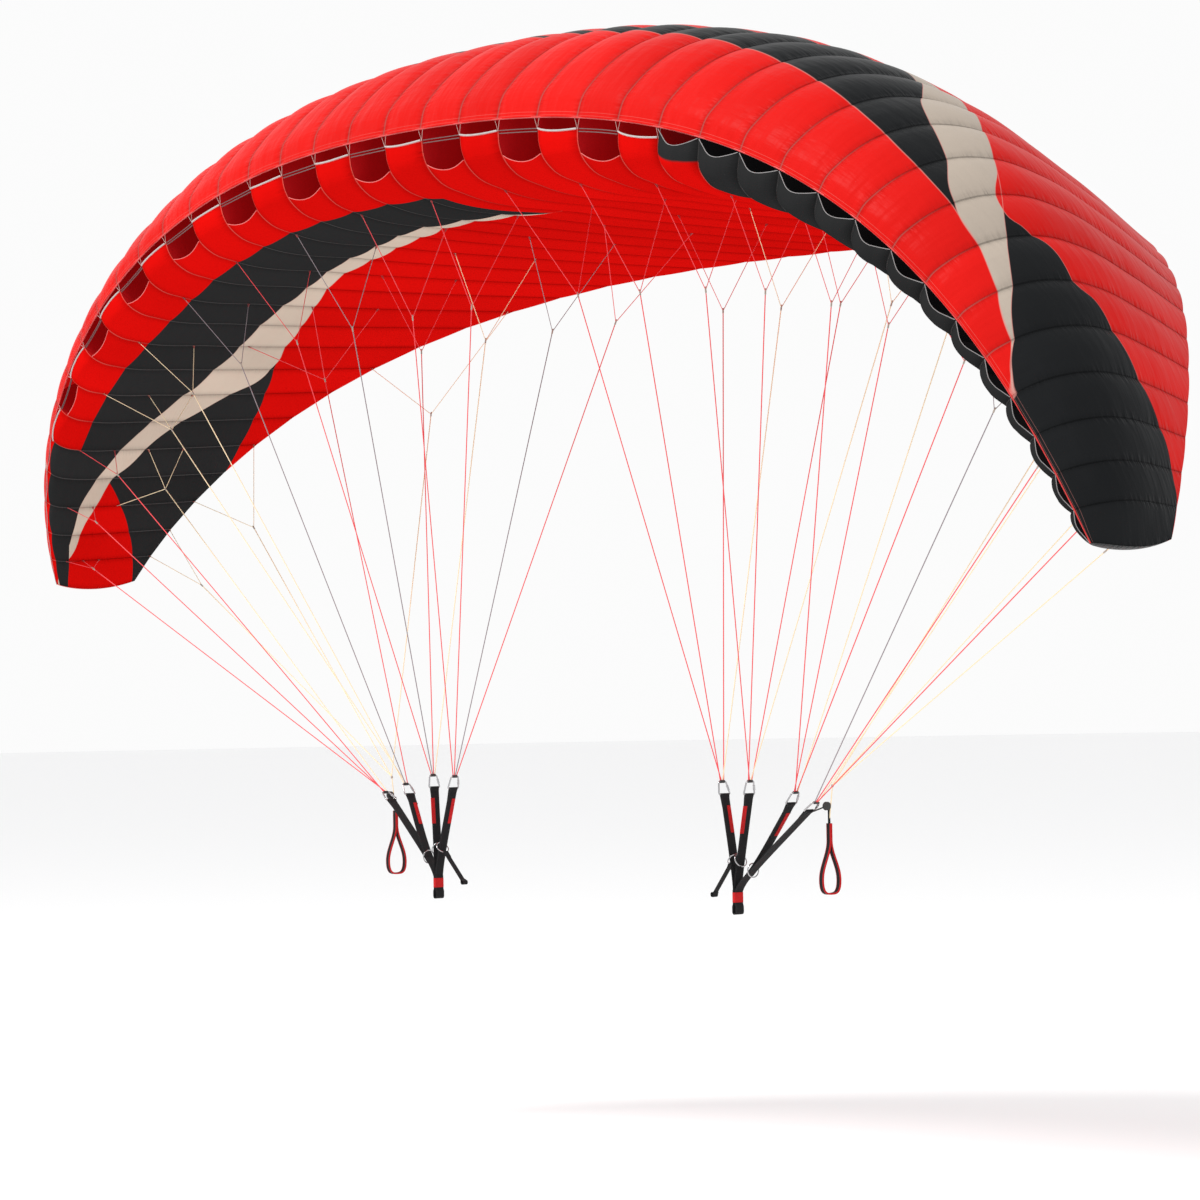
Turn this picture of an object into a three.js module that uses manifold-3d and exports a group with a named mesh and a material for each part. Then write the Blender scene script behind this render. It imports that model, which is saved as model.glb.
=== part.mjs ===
// Paraglider wing for two: an arched ram-air canopy, its line set and its webbing risers.
// Millimetres, +Z up. X runs along the span, the wing flies towards -Y, and the origin is the
// middle of the leading-edge lip. Heights of the profile and places along it are shares of the chord.
import * as THREE from 'three';
import { mergeVertices } from 'three/addons/utils/BufferGeometryUtils.js';
import Module from 'manifold-3d';

const wasm = await Module();
wasm.setup();

// Canopy plan and arc, with u = 0 at the middle rib and 1 at the tip.
const HALF_ARC = 7000;
const ARC_STEPS = 80;
const ARC = { linear: 0.29, square: 0.825, fourth: 0.335, eighth: -0.10 };
const SWEEP = { square: 210, sixth: 390 };
const CHORD = { root: 4360, square: 0.888, sixth: -0.044 };
const INCIDENCE = { root: 0.138, square: -0.10 };
const TOE_IN = { linear: 0.028, cube: 0.014 };
const HALF_CELLS = 20;
const CELL_TAPER = 0.567;

// Profile, as shares of the chord. The nose rows follow the lower rows up to the mouth.
const UPPER_ROWS = [
  { v: 0, h: 0 },
  { v: 0.025, h: 0.066 },
  { v: 0.08, h: 0.121 },
  { v: 0.17, h: 0.166 },
  { v: 0.30, h: 0.186 },
  { v: 0.47, h: 0.167 },
  { v: 0.70, h: 0.102 },
  { v: 1, h: 0 },
];
const LOWER_ROWS = [
  { v: 1, h: 0 },
  { v: 0.62, h: -0.042 },
  { v: 0.32, h: -0.071 },
  { v: 0.10, h: -0.083 },
  { v: 0.035, h: -0.074 },
  { v: 0.008, h: -0.058 },
];
const NOSE_ROWS = [
  { v: -0.004, h: -0.040 },
  { v: -0.004, h: -0.022 },
  { v: 0.004, h: -0.008 },
];
const TIP_THINNING = 0.55;
const TIP_BOW = 100;
const TIP_PLACE = 0.9965;
const TIP_STATIONS = [0.012, 0.035, 0.10, 0.27, 0.44, 0.62, 0.80, 0.93];
const TIP_MARGIN = 0.013;

// Cloth.
const CLOTH = 3;
const TRAILING_GAP = 7;
const UPPER_BILLOW = 0.11;
const LOWER_BILLOW = 0.06;
const SCOOP_BILLOW = 0.12;
const MOUTH_SCOOP = 0.22;
const HEM_SAG = 0.16;
const SCOOP_LIMIT = 0.02;
const SAG_LIMIT = 0.011;
const FIRST_PLAIN_CELL = 5;
const LAST_PLAIN_CELL = 25;
const SEAM_ROW = 3;
const SEAM_GAP = 1;
const PANEL_GAP = 0.7;
const NOSE_PANELS = {
  nose_left_tip: [0, 4],
  nose_left: [5, 11],
  nose_middle: [12, 18],
  nose_right: [19, 25],
  nose_right_tip: [26, 39],
};
const RIB_CLOTH = 2;
const RIB_INSET = 3.2;
const RIB_TAIL = 0.955;
const RIB_SETS = {
  ribs_left_tip: [-19, -11],
  ribs_left: [-10, -1],
  ribs_right: [0, 19],
};
const TAPE_PLACE = { v: 0.005, h: -0.021 };
const TAPE_HALF = 5;
const TAPE_SHARE = 0.0035;

// Lines. Each main line forks under the canopy to the ribs and rows that it carries.
const LINE_ROWS = { a: 0.10, b: 0.27, c: 0.44, d: 0.62, brake: 0.985 };
const MAIN_RADIUS = 3.4;
const UPPER_RADIUS = 2;
const LINE_SIDES = 5;
const CURVE_STEPS = 5;
const MESH_TOLERANCE = 0.06;
const FORK_OVERLAP = 0.8;
const FORK_SPREAD = 1.5;
const BRAKE_KNOT_RADIUS = 9;
const FORK_DROP = 0.16;
const BRAKE_FORK_DROP = 700;
const LINE_CLEARANCE = 5;
const MAIN_LINES = {
  a: [
    ['1a', '1b'],
    ['3a', '3b'],
    ['3c', '3d'],
    ['1c', '1d'],
  ],
  b: [
    ['5a', '5b'],
    ['7a', '7b'],
    ['7c', '7d'],
    ['5c', '5d'],
  ],
  c: [
    ['9a', '9b'],
    ['11a', '11b'],
    ['13a', '13b', '13c'],
    ['9c', '9d', '11c'],
  ],
  d: [
    ['15a', '15b'],
    ['17a', '17b'],
    ['19a', '19b', '19c'],
    ['15c', '15d', '17c'],
  ],
  brake: [
    ['18brake', '19brake'],
    ['15brake', '17brake'],
    ['9brake', '12brake'],
  ],
};

// Quick links and risers. Points are on the right-hand riser and mirrored for the left one.
const WEBBING_WIDTH = 70;
const WEBBING = 4;
const EYE_BORE = 6;
const EYE_WALL = 3.2;
const LINK_WIRE = 5;
const LINK_SIDES = 6;
const LINK_HEIGHT = 88;
const LINK_BASE = 92;
const LINK_TOP = 58;
const LINK_CORNER = 7;
const SLEEVE_BORE = 6.4;
const SLEEVE_RADIUS = 10.2;
const SLEEVE_LENGTH = 38;
const STRAP_ROUTES = {
  a: [[1528, 1272, -4465], [1640, 1251, -4885], [1679, 1242, -5068], [1679, 1242, -5165]],
  b: [[1770, 1282, -4462], [1706, 1254, -4892], [1684, 1242, -5068], [1684, 1242, -5165]],
  c: [[2139, 1330, -4517], [1860, 1266, -4924], [1689, 1242, -5075], [1689, 1242, -5165]],
  d: [[2346, 1310, -4559], [1869, 1264, -4922], [1785, 1254, -4996]],
};
const LABELS = { a: 1, b: -1, c: 1 };
const LABEL_START = 75;
const LABEL_LENGTH = 183;
const LABEL_WIDTH = 30;
const LABEL_CLOTH = 1.2;
const RING_RADIUS = 46;
const RING_WIRE = 4;
const RING_SIDES = 5;
const RING_STEPS = 12;
const RING_B_TILT = 0.61;
const BUCKLE_TILT = 0.85;
const BUCKLE_DROP = 48;
const INNER_WIDTH = 40;
const INNER_END = [1407, 1267, -5126];
const INNER_BORE = 8;
const INNER_EYE = 17;
const LOOP_CENTRE = [1684, 1242];
const LOOP_TOP = -5085;
const LOOP_NECK = -5178;
const LOOP_SHOULDER = -5196;
const LOOP_HIP = -5224;
const LOOP_BOTTOM = -5246;
const LOOP_HALF = 10;
const LOOP_EYE_HALF = 17;
const BAND_TOP = -5102;
const BAND_BOTTOM = -5168;
const BAND_CLOTH = 2;

// Brake pulley and handle.
const PULLEY = [2448, 1372, -4530];
const PULLEY_RADIUS = 28;
const PULLEY_WIDTH = 22;
const PULLEY_GROOVE = 5;
const PULLEY_RIM = 5;
const TAB_DROP = 40;
const TAB_WIDTH = 24;
const BRAKE_KNOT = [2470, 1404, -4400];
const HANDLE_TOP = [2432, 1404, -4642];
const HANDLE_LENGTH = 450;
const HANDLE_GRIP = 110;
const HANDLE_HALF = 78;
const HANDLE_WEBBING = 9;
const HANDLE_WIDTH = 30;
const HANDLE_ROUNDNESS = 1.15;
const HANDLE_EASE = 90;
const TOUCH_GAP = 0.5;

const RED = { color: 0xd8141a, roughness: 0.42, metalness: 0 };
const BLACK = { color: 0x1b1c1e, roughness: 0.6, metalness: 0 };
const STEEL = { color: 0xb9bcc0, roughness: 0.25, metalness: 1 };
const LINE_RED = { color: 0xc8283a, roughness: 0.55, metalness: 0 };
const LINE_CREAM = { color: 0xe2cf9c, roughness: 0.55, metalness: 0 };

const wing = new THREE.Group();
const ALONG_HEIGHT = new THREE.Vector2(0, 1);

// ---------------------------------------------------------------- helpers

function vec(list) {
  return new THREE.Vector3(list[0], list[1], list[2]);
}

function welded(geometry) {
  const bare = geometry.index ? geometry.clone() : mergeVertices(geometry.clone());
  bare.deleteAttribute('normal');
  bare.deleteAttribute('uv');
  return mergeVertices(bare, 1e-4);
}

function toSolid(geometry) {
  const bare = welded(geometry);
  return new wasm.Manifold(new wasm.Mesh({
    numProp: 3,
    vertProperties: new Float32Array(bare.attributes.position.array),
    triVerts: new Uint32Array(bare.index.array),
  }));
}

function fromSolid(solid) {
  const mesh = solid.getMesh();
  const geometry = new THREE.BufferGeometry();
  geometry.setAttribute('position', new THREE.BufferAttribute(mesh.vertProperties, 3));
  geometry.setIndex(new THREE.BufferAttribute(mesh.triVerts, 1));
  return geometry;
}

// Merges the slivers that a join leaves where two surfaces meet at a low angle.
function cleaned(solid) {
  return solid.asOriginal().simplify(MESH_TOLERANCE);
}

function fuse(geometries) {
  let joined = toSolid(geometries[0]);
  for (const geometry of geometries.slice(1)) {
    joined = joined.add(toSolid(geometry));
  }
  return fromSolid(cleaned(joined));
}

function mirrored(geometry) {
  const copy = welded(geometry);
  copy.scale(-1, 1, 1);
  const index = copy.index.array;
  for (let i = 0; i < index.length; i += 3) {
    const first = index[i];
    index[i] = index[i + 1];
    index[i + 1] = first;
  }
  return copy;
}

function extrusion(depth) {
  return { depth, bevelEnabled: false, curveSegments: CURVE_STEPS };
}

function addNode(name, geometry, finish) {
  const shape = welded(geometry);
  shape.computeVertexNormals();
  const mesh = new THREE.Mesh(shape, new THREE.MeshStandardMaterial({ ...finish, side: THREE.DoubleSide }));
  mesh.name = name;
  wing.add(mesh);
}

function addPair(name, geometry, finish) {
  addNode(`${name}_right`, geometry, finish);
  addNode(`${name}_left`, mirrored(geometry), finish);
}

// A sheet of cloth: points joined by quads, thickened by half its thickness each way.
class Sheet {
  constructor() {
    this.points = [];
    this.quads = [];
    this.names = new Map();
  }

  point(name, place) {
    if (!this.names.has(name)) {
      this.names.set(name, this.points.length);
      this.points.push(place());
    }
    return this.names.get(name);
  }

  quad(a, b, c, d) {
    this.quads.push([a, b, c, d]);
  }

  thicken(thickness) {
    const flat = this.quads.flatMap(([a, b, c, d]) => [a, b, c, a, c, d]);
    const sheet = new THREE.BufferGeometry();
    const middles = this.points.flatMap((p) => p.toArray());
    sheet.setAttribute('position', new THREE.Float32BufferAttribute(middles, 3));
    sheet.setIndex(flat);
    sheet.computeVertexNormals();
    const normals = sheet.attributes.normal;
    const count = this.points.length;
    const places = [];
    for (const side of [0.5, -0.5]) {
      this.points.forEach((p, i) => {
        const normal = new THREE.Vector3().fromBufferAttribute(normals, i);
        places.push(...p.clone().addScaledVector(normal, side * thickness).toArray());
      });
    }
    const index = [...flat];
    const edges = new Map();
    for (let i = 0; i < flat.length; i += 3) {
      const [a, b, c] = flat.slice(i, i + 3);
      index.push(a + count, c + count, b + count);
      for (const [from, to] of [[a, b], [b, c], [c, a]]) {
        edges.set(`${from}_${to}`, [from, to]);
      }
    }
    for (const [from, to] of edges.values()) {
      if (!edges.has(`${to}_${from}`)) {
        index.push(to, from, from + count, to, from + count, to + count);
      }
    }
    const geometry = new THREE.BufferGeometry();
    geometry.setAttribute('position', new THREE.Float32BufferAttribute(places, 3));
    geometry.setIndex(index);
    return geometry;
  }
}

// ---------------------------------------------------------------- wing shape

function arcAngle(u) {
  return ARC.linear * u + ARC.square * u ** 2 + ARC.fourth * u ** 4 + ARC.eighth * u ** 8;
}

function chordLength(u) {
  return CHORD.root * (1 - CHORD.square * u ** 2 - CHORD.sixth * u ** 6);
}

function arcPlace(u) {
  let x = 0;
  let z = 0;
  for (let i = 0; i < ARC_STEPS; i += 1) {
    const angle = arcAngle(((i + 0.5) / ARC_STEPS) * u);
    x += (Math.cos(angle) * HALF_ARC * u) / ARC_STEPS;
    z -= (Math.sin(angle) * HALF_ARC * u) / ARC_STEPS;
  }
  return { x, z };
}

// The section at a place along the span: its lip point, chord direction, height direction and chord.
function section(place) {
  const u = Math.abs(place);
  const side = place < 0 ? -1 : 1;
  const angle = arcAngle(u);
  const { x, z } = arcPlace(u);
  const lip = new THREE.Vector3(side * x, SWEEP.square * u ** 2 + SWEEP.sixth * u ** 6, z);
  const out = new THREE.Vector3(side * Math.cos(angle), 0, -Math.sin(angle));
  const rise = new THREE.Vector3(side * Math.sin(angle), 0, Math.cos(angle));
  const incidence = INCIDENCE.root + INCIDENCE.square * u ** 2;
  const toe = TOE_IN.linear * u + TOE_IN.cube * u ** 3;
  const back = new THREE.Vector3(0, Math.cos(toe), 0).addScaledVector(out, -Math.sin(toe));
  back.multiplyScalar(Math.cos(incidence)).addScaledVector(rise, -Math.sin(incidence));
  const up = rise.clone().multiplyScalar(Math.cos(incidence));
  up.y += Math.sin(incidence);
  return { lip, out, back, up, chord: chordLength(u), u };
}

// Rib places: cells narrow towards the tips.
const ribPlaces = [0];
for (let cell = 0; cell < HALF_CELLS; cell += 1) {
  ribPlaces.push(ribPlaces[cell] + 1 - CELL_TAPER * ((cell + 0.5) / HALF_CELLS) ** 2);
}
const ribTotal = ribPlaces[HALF_CELLS];
ribPlaces.forEach((place, i) => {
  ribPlaces[i] = place / ribTotal;
});

function ribPlace(rib) {
  return rib < 0 ? -ribPlaces[-rib] : ribPlaces[rib];
}

function tipShare(u) {
  return THREE.MathUtils.smoothstep(u, ribPlaces[HALF_CELLS - 1], 1);
}

// The point of a row list at a place along the chord, between the rows beside it.
function rowAt(rows, v) {
  const next = rows.findIndex((row, i) => i > 0 && (row.v - v) * (rows[i - 1].v - v) <= 0);
  const share = (v - rows[next - 1].v) / (rows[next].v - rows[next - 1].v);
  return { v, h: THREE.MathUtils.lerp(rows[next - 1].h, rows[next].h, share) };
}

// Direction out of the profile at each row, from the rows beside it.
function rowNormals(rows) {
  return rows.map((row, i) => {
    const before = rows[Math.max(i - 1, 0)];
    const after = rows[Math.min(i + 1, rows.length - 1)];
    return new THREE.Vector2(before.h - after.h, after.v - before.v).normalize();
  });
}

// A point of the profile: row is {v, h}, normal its direction out, bulge a length along it.
function profilePoint(at, row, normal, bulge, surface) {
  const thin = 1 - TIP_THINNING * tipShare(at.u);
  const gap = (surface * TRAILING_GAP) / 2;
  const bow = TIP_BOW * tipShare(at.u) * 4 * row.v * (1 - row.v);
  const point = at.lip.clone();
  point.addScaledVector(at.back, at.chord * row.v + normal.x * bulge);
  point.addScaledVector(at.up, at.chord * row.h * thin + gap * row.v + normal.y * bulge);
  return point.addScaledVector(at.out, Math.max(bow, 0));
}

const upperNormals = rowNormals(UPPER_ROWS);
const lowerChain = [...LOWER_ROWS, ...NOSE_ROWS];
const lowerNormals = rowNormals(lowerChain);

// Span line numbers count half cells from the left tip: even ones are ribs, odd ones cell middles.
const LINES_ACROSS = 4 * HALF_CELLS;

function spanLine(line) {
  const rib = Math.floor(line / 2) - HALF_CELLS;
  const middle = line % 2 === 1;
  const place = middle ? (ribPlace(rib) + ribPlace(rib + 1)) / 2 : ribPlace(rib);
  const width = middle ? (ribPlace(rib + 1) - ribPlace(rib)) * HALF_ARC : 0;
  return { at: section(place), width, middle };
}

const spanLines = [];
for (let line = 0; line <= LINES_ACROSS; line += 1) {
  spanLines.push(spanLine(line));
}

function billowShare(v) {
  const front = THREE.MathUtils.smoothstep(v, -0.06, 0.12);
  const rear = 1 - 0.65 * THREE.MathUtils.smoothstep(v, 0.75, 1);
  return front * rear;
}

function upperPoint(line, row) {
  const { at, width } = spanLines[line];
  const bulge = UPPER_BILLOW * width * billowShare(UPPER_ROWS[row].v);
  return profilePoint(at, UPPER_ROWS[row], upperNormals[row], bulge, 1);
}

function lowerPoint(line, row, kind) {
  const { at, width } = spanLines[line];
  const share = row >= LOWER_ROWS.length - 2 ? 1 : billowShare(lowerChain[row].v);
  const billow = kind === 'scooped' && row >= LOWER_ROWS.length - 1 ? SCOOP_BILLOW : LOWER_BILLOW;
  const bulge = billow * width * share;
  const place = lowerChain[row];
  return profilePoint(at, place, lowerNormals[row].clone().negate(), -bulge, -1);
}

// ---------------------------------------------------------------- sails

function upperSail() {
  const sheet = new Sheet();
  for (let line = 0; line < LINES_ACROSS; line += 1) {
    for (let row = 0; row < UPPER_ROWS.length - 1; row += 1) {
      const corners = [[line, row], [line + 1, row], [line + 1, row + 1], [line, row + 1]];
      const [a, b, c, d] = corners.map(([l, r]) => sheet.point(`${l}_${r}`, () => upperPoint(l, r)));
      sheet.quad(a, b, c, d);
    }
  }
  return sheet.thicken(CLOTH);
}

// Mouths: plain cells are open and half closed in turn, the others have one scooped panel each.
function mouthKind(cell) {
  if (cell < FIRST_PLAIN_CELL || cell > LAST_PLAIN_CELL) {
    return 'scooped';
  }
  return cell % 2 === 1 ? 'closed' : 'open';
}

const lastBase = LOWER_ROWS.length - 1;
const FLAP_ROWS = { open: 0, closed: 2, scooped: 3 };

// The middle of a mouth's hem hangs below its ends, back along the panel.
function hemMiddle(line, row, kind, drop) {
  const edge = lowerPoint(line, row, kind);
  const below = lowerPoint(line, row - 1, kind);
  const way = below.sub(edge);
  return edge.addScaledVector(way.normalize(), drop);
}

function lowerPlace(line, row, kind) {
  const { middle, width, at } = spanLines[line];
  const top = lastBase + FLAP_ROWS[kind];
  if (middle && kind === 'open' && row === top) {
    return hemMiddle(line, row, kind, Math.min(MOUTH_SCOOP * width, SCOOP_LIMIT * at.chord));
  }
  if (middle && kind === 'scooped' && row === top) {
    return hemMiddle(line, row, kind, Math.min(HEM_SAG * width, SAG_LIMIT * at.chord));
  }
  return lowerPoint(line, row, kind);
}

function lowerSail() {
  const sheet = new Sheet();
  const place = (line, row) => sheet.point(`${line}_${row}`, () => lowerPlace(line, row, 'open'));
  for (let line = 0; line < LINES_ACROSS; line += 1) {
    for (let row = 0; row < SEAM_ROW; row += 1) {
      sheet.quad(place(line, row), place(line + 1, row), place(line + 1, row + 1), place(line, row + 1));
    }
  }
  return sheet.thicken(CLOTH);
}

// The nose panels are sewn on in front of the lower sail, a run of cells to each piece. They stand a
// little apart from it and from each other.
function nosePanels(firstCell, lastCell) {
  const sheet = new Sheet();
  const ends = [2 * firstCell, 2 * lastCell + 2];
  const place = (line, row, kind) => {
    const { at } = spanLines[line];
    const point = lowerPlace(line, row, kind);
    const inward = Math.sign(at.out.x) * PANEL_GAP;
    if (row === SEAM_ROW) {
      point.addScaledVector(at.back, -SEAM_GAP);
    }
    if (line === ends[0]) {
      point.addScaledVector(at.out, inward);
    }
    if (line === ends[1]) {
      point.addScaledVector(at.out, -inward);
    }
    return point;
  };
  for (let cell = firstCell; cell <= lastCell; cell += 1) {
    const kind = mouthKind(cell);
    for (const line of [2 * cell, 2 * cell + 1]) {
      for (let row = SEAM_ROW; row < lastBase + FLAP_ROWS[kind]; row += 1) {
        const corners = [[line, row], [line, row + 1], [line + 1, row + 1], [line + 1, row]];
        const [a, b, c, d] = corners.map(([l, r]) => sheet.point(`${l}_${r}`, () => place(l, r, kind)));
        sheet.quad(a, d, c, b);
      }
    }
  }
  return sheet.thicken(CLOTH);
}

addNode('upper_sail', upperSail(), RED);
addNode('lower_sail', lowerSail(), RED);
for (const [name, [firstCell, lastCell]] of Object.entries(NOSE_PANELS)) {
  addNode(name, nosePanels(firstCell, lastCell), RED);
}

// ---------------------------------------------------------------- ribs

// The outline of a rib, moved inwards from the cloth by inset.
function ribOutline(chord, inset) {
  const around = [
    ...UPPER_ROWS.filter((row) => row.v > 0 && row.v < RIB_TAIL),
    rowAt(UPPER_ROWS, RIB_TAIL),
    rowAt(LOWER_ROWS, RIB_TAIL),
    ...LOWER_ROWS.filter((row) => row.v < RIB_TAIL),
    NOSE_ROWS[0],
    NOSE_ROWS[NOSE_ROWS.length - 1],
  ];
  const corners = around.map((row) => {
    const half = TRAILING_GAP / 2;
    const gap = row.h > 0 ? half * row.v : -half * row.v;
    return new THREE.Vector2(row.v * chord, row.h * chord + gap);
  });
  return corners.map((corner, i) => {
    const before = corners[(i + corners.length - 1) % corners.length];
    const after = corners[(i + 1) % corners.length];
    const first = corner.clone().sub(before).normalize();
    const second = after.clone().sub(corner).normalize();
    const inward = new THREE.Vector2(first.y + second.y, -first.x - second.x).normalize();
    const reach = inset / Math.max(inward.dot(new THREE.Vector2(first.y, -first.x)), 0.5);
    return corner.clone().addScaledVector(inward, reach);
  });
}

function ribPlate(rib) {
  const at = section(ribPlace(rib));
  const outline = new THREE.Shape(ribOutline(at.chord, RIB_INSET));
  const plate = new THREE.ExtrudeGeometry(outline, extrusion(RIB_CLOTH));
  plate.translate(0, 0, -RIB_CLOTH / 2);
  const across = new THREE.Vector3().crossVectors(at.back, at.up).normalize();
  plate.applyMatrix4(new THREE.Matrix4().makeBasis(at.back, at.up, across).setPosition(at.lip));
  return plate;
}

function tapePoint(rib) {
  const at = section(ribPlace(rib));
  return profilePoint(at, TAPE_PLACE, ALONG_HEIGHT, 0, -1);
}

// One straight piece of the mouth tape, square in section and pointed into both ribs.
function tapePiece(rib) {
  const from = tapePoint(rib);
  const to = tapePoint(rib + 1);
  const outer = section(ribPlace(rib < 0 ? rib : rib + 1));
  const half = Math.min(TAPE_HALF, TAPE_SHARE * outer.chord);
  const inset = to.clone().sub(from).normalize().multiplyScalar(RIB_CLOTH / 4);
  return rod(from.add(inset), to.sub(inset), half * Math.SQRT2, 4);
}

function rod(from, to, radius, sides) {
  const way = to.clone().sub(from);
  const bar = new THREE.CylinderGeometry(radius, radius, way.length(), sides);
  bar.applyQuaternion(new THREE.Quaternion().setFromUnitVectors(new THREE.Vector3(0, 1, 0), way.normalize()));
  const middle = from.clone().add(to).multiplyScalar(0.5);
  return bar.translate(middle.x, middle.y, middle.z);
}

// A run of ribs and the tape between them.
function ribSet(firstRib, lastRib) {
  const pieces = [];
  for (let rib = firstRib; rib <= lastRib; rib += 1) {
    pieces.push(ribPlate(rib));
    if (rib < lastRib) {
      pieces.push(tapePiece(rib));
    }
  }
  return fuse(pieces);
}

for (const [name, [firstRib, lastRib]] of Object.entries(RIB_SETS)) {
  addNode(name, ribSet(firstRib, lastRib), BLACK);
}

// ---------------------------------------------------------------- tips

// A tip panel closes the last cell between the two sails, just inside their edges.
function tipPanel() {
  const at = section(TIP_PLACE);
  const sheet = new Sheet();
  const place = (i, share) => {
    const v = TIP_STATIONS[i];
    const high = rowAt(UPPER_ROWS, v).h - TIP_MARGIN;
    const low = rowAt(LOWER_ROWS, v).h + TIP_MARGIN;
    return profilePoint(at, { v, h: THREE.MathUtils.lerp(high, low, share) }, ALONG_HEIGHT, 0, 0);
  };
  for (let i = 0; i < TIP_STATIONS.length - 1; i += 1) {
    const corners = [[i, 0], [i + 1, 0], [i + 1, 1], [i, 1]];
    const [a, b, c, d] = corners.map(([s, share]) => sheet.point(`${s}_${share}`, () => place(s, share)));
    sheet.quad(a, b, c, d);
  }
  return sheet.thicken(RIB_CLOTH);
}

addPair('tip_panel', tipPanel(), RED);

// ---------------------------------------------------------------- lines

function attachment(code) {
  const rib = parseInt(code, 10);
  const row = LINE_ROWS[code.replace(String(rib), '')];
  const at = section(ribPlaces[rib]);
  return profilePoint(at, rowAt(LOWER_ROWS, row), ALONG_HEIGHT, -CLOTH / 2 - LINE_CLEARANCE, -1);
}

// One main line from its start to a fork, and the upper lines from the fork to the canopy.
function forkedLine(start, codes, drop) {
  const ends = codes.map(attachment);
  const middle = new THREE.Vector3();
  ends.forEach((end) => middle.addScaledVector(end, 1 / ends.length));
  const way = start.clone().sub(middle).normalize();
  const fork = middle.clone().addScaledVector(way, drop);
  const pieces = [rod(start, fork, MAIN_RADIUS, LINE_SIDES)];
  const root = fork.clone().addScaledVector(way, FORK_OVERLAP);
  for (const end of ends) {
    const sideways = end.clone().sub(middle);
    sideways.addScaledVector(way, -sideways.dot(way)).normalize();
    pieces.push(rod(root.clone().addScaledVector(sideways, FORK_SPREAD), end, UPPER_RADIUS, LINE_SIDES));
  }
  return pieces;
}

function forkDrop(codes) {
  const ribs = codes.map((code) => ribPlaces[parseInt(code, 10)]);
  return FORK_DROP * chordLength(ribs.reduce((sum, u) => sum + u, 0) / ribs.length);
}

// The link's way: from its riser strap up towards its lines, square to the span of its bars (Y).
function linkFrame(riser) {
  const [top, below] = STRAP_ROUTES[riser].map(vec);
  const way = top.clone().sub(below);
  way.y = 0;
  way.normalize();
  return { base: top, way, crown: top.clone().addScaledVector(way, LINK_HEIGHT) };
}

function sleeve(centre, way) {
  const ring = new THREE.Shape().absarc(0, 0, SLEEVE_RADIUS, 0, Math.PI * 2);
  ring.holes.push(new THREE.Path().absarc(0, 0, SLEEVE_BORE, 0, Math.PI * 2, true));
  const tube = new THREE.ExtrudeGeometry(ring, extrusion(SLEEVE_LENGTH));
  tube.translate(0, 0, -SLEEVE_LENGTH / 2);
  const side = new THREE.Vector3().crossVectors(way, new THREE.Vector3(0, 1, 0));
  const basis = new THREE.Matrix4().makeBasis(side, way, new THREE.Vector3(0, 1, 0));
  return tube.applyMatrix4(basis.setPosition(centre));
}

function riserLines(riser) {
  const { crown, way } = linkFrame(riser);
  const mains = MAIN_LINES[riser].map((codes) => {
    const ends = codes.map(attachment);
    return { codes, rear: ends.reduce((sum, end) => sum + end.y, 0) / ends.length };
  });
  mains.sort((first, second) => first.rear - second.rear);
  const spacing = (SLEEVE_LENGTH - 2 * MAIN_RADIUS - 1) / (mains.length - 1);
  const pieces = [sleeve(crown, way)];
  mains.forEach(({ codes }, i) => {
    const target = attachment(codes[0]).sub(crown);
    target.y = 0;
    const start = crown.clone().addScaledVector(target.normalize(), (SLEEVE_BORE + SLEEVE_RADIUS) / 2);
    start.y += (i - (mains.length - 1) / 2) * spacing;
    pieces.push(...forkedLine(start, codes, forkDrop(codes)));
  });
  return fuse(pieces);
}

function brakeLines() {
  const knot = vec(BRAKE_KNOT);
  const end = vec(HANDLE_TOP);
  end.z += TOUCH_GAP;
  const ball = new THREE.IcosahedronGeometry(BRAKE_KNOT_RADIUS, 0).translate(knot.x, knot.y, knot.z);
  const pieces = [ball, rod(knot, end, MAIN_RADIUS, LINE_SIDES)];
  const mains = MAIN_LINES.brake;
  mains.forEach((codes, i) => {
    const start = knot.clone();
    start.y += (i - (mains.length - 1) / 2) * -MAIN_RADIUS;
    pieces.push(...forkedLine(start, codes, BRAKE_FORK_DROP));
  });
  return fuse(pieces);
}

addPair('lines_a', riserLines('a'), LINE_RED);
addPair('lines_b', riserLines('b'), LINE_RED);
addPair('lines_c', riserLines('c'), LINE_RED);
addPair('lines_d', riserLines('d'), LINE_RED);
addPair('lines_brake', brakeLines(), LINE_CREAM);

// ---------------------------------------------------------------- quick links

function quickLink(riser) {
  const { base, way } = linkFrame(riser);
  const half = [
    [LINK_BASE / 2 - LINK_CORNER, 0],
    [LINK_BASE / 2, LINK_CORNER],
    [LINK_TOP / 2, LINK_HEIGHT - LINK_CORNER],
    [LINK_TOP / 2 - LINK_CORNER, LINK_HEIGHT],
  ];
  const otherHalf = half.map(([y, s]) => [-y, s]).reverse();
  const places = [...half, ...otherHalf].map(([y, s]) => {
    const place = base.clone().addScaledVector(way, s);
    place.y += y;
    return place;
  });
  return polygonTube(places, LINK_WIRE, LINK_SIDES);
}

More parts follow.
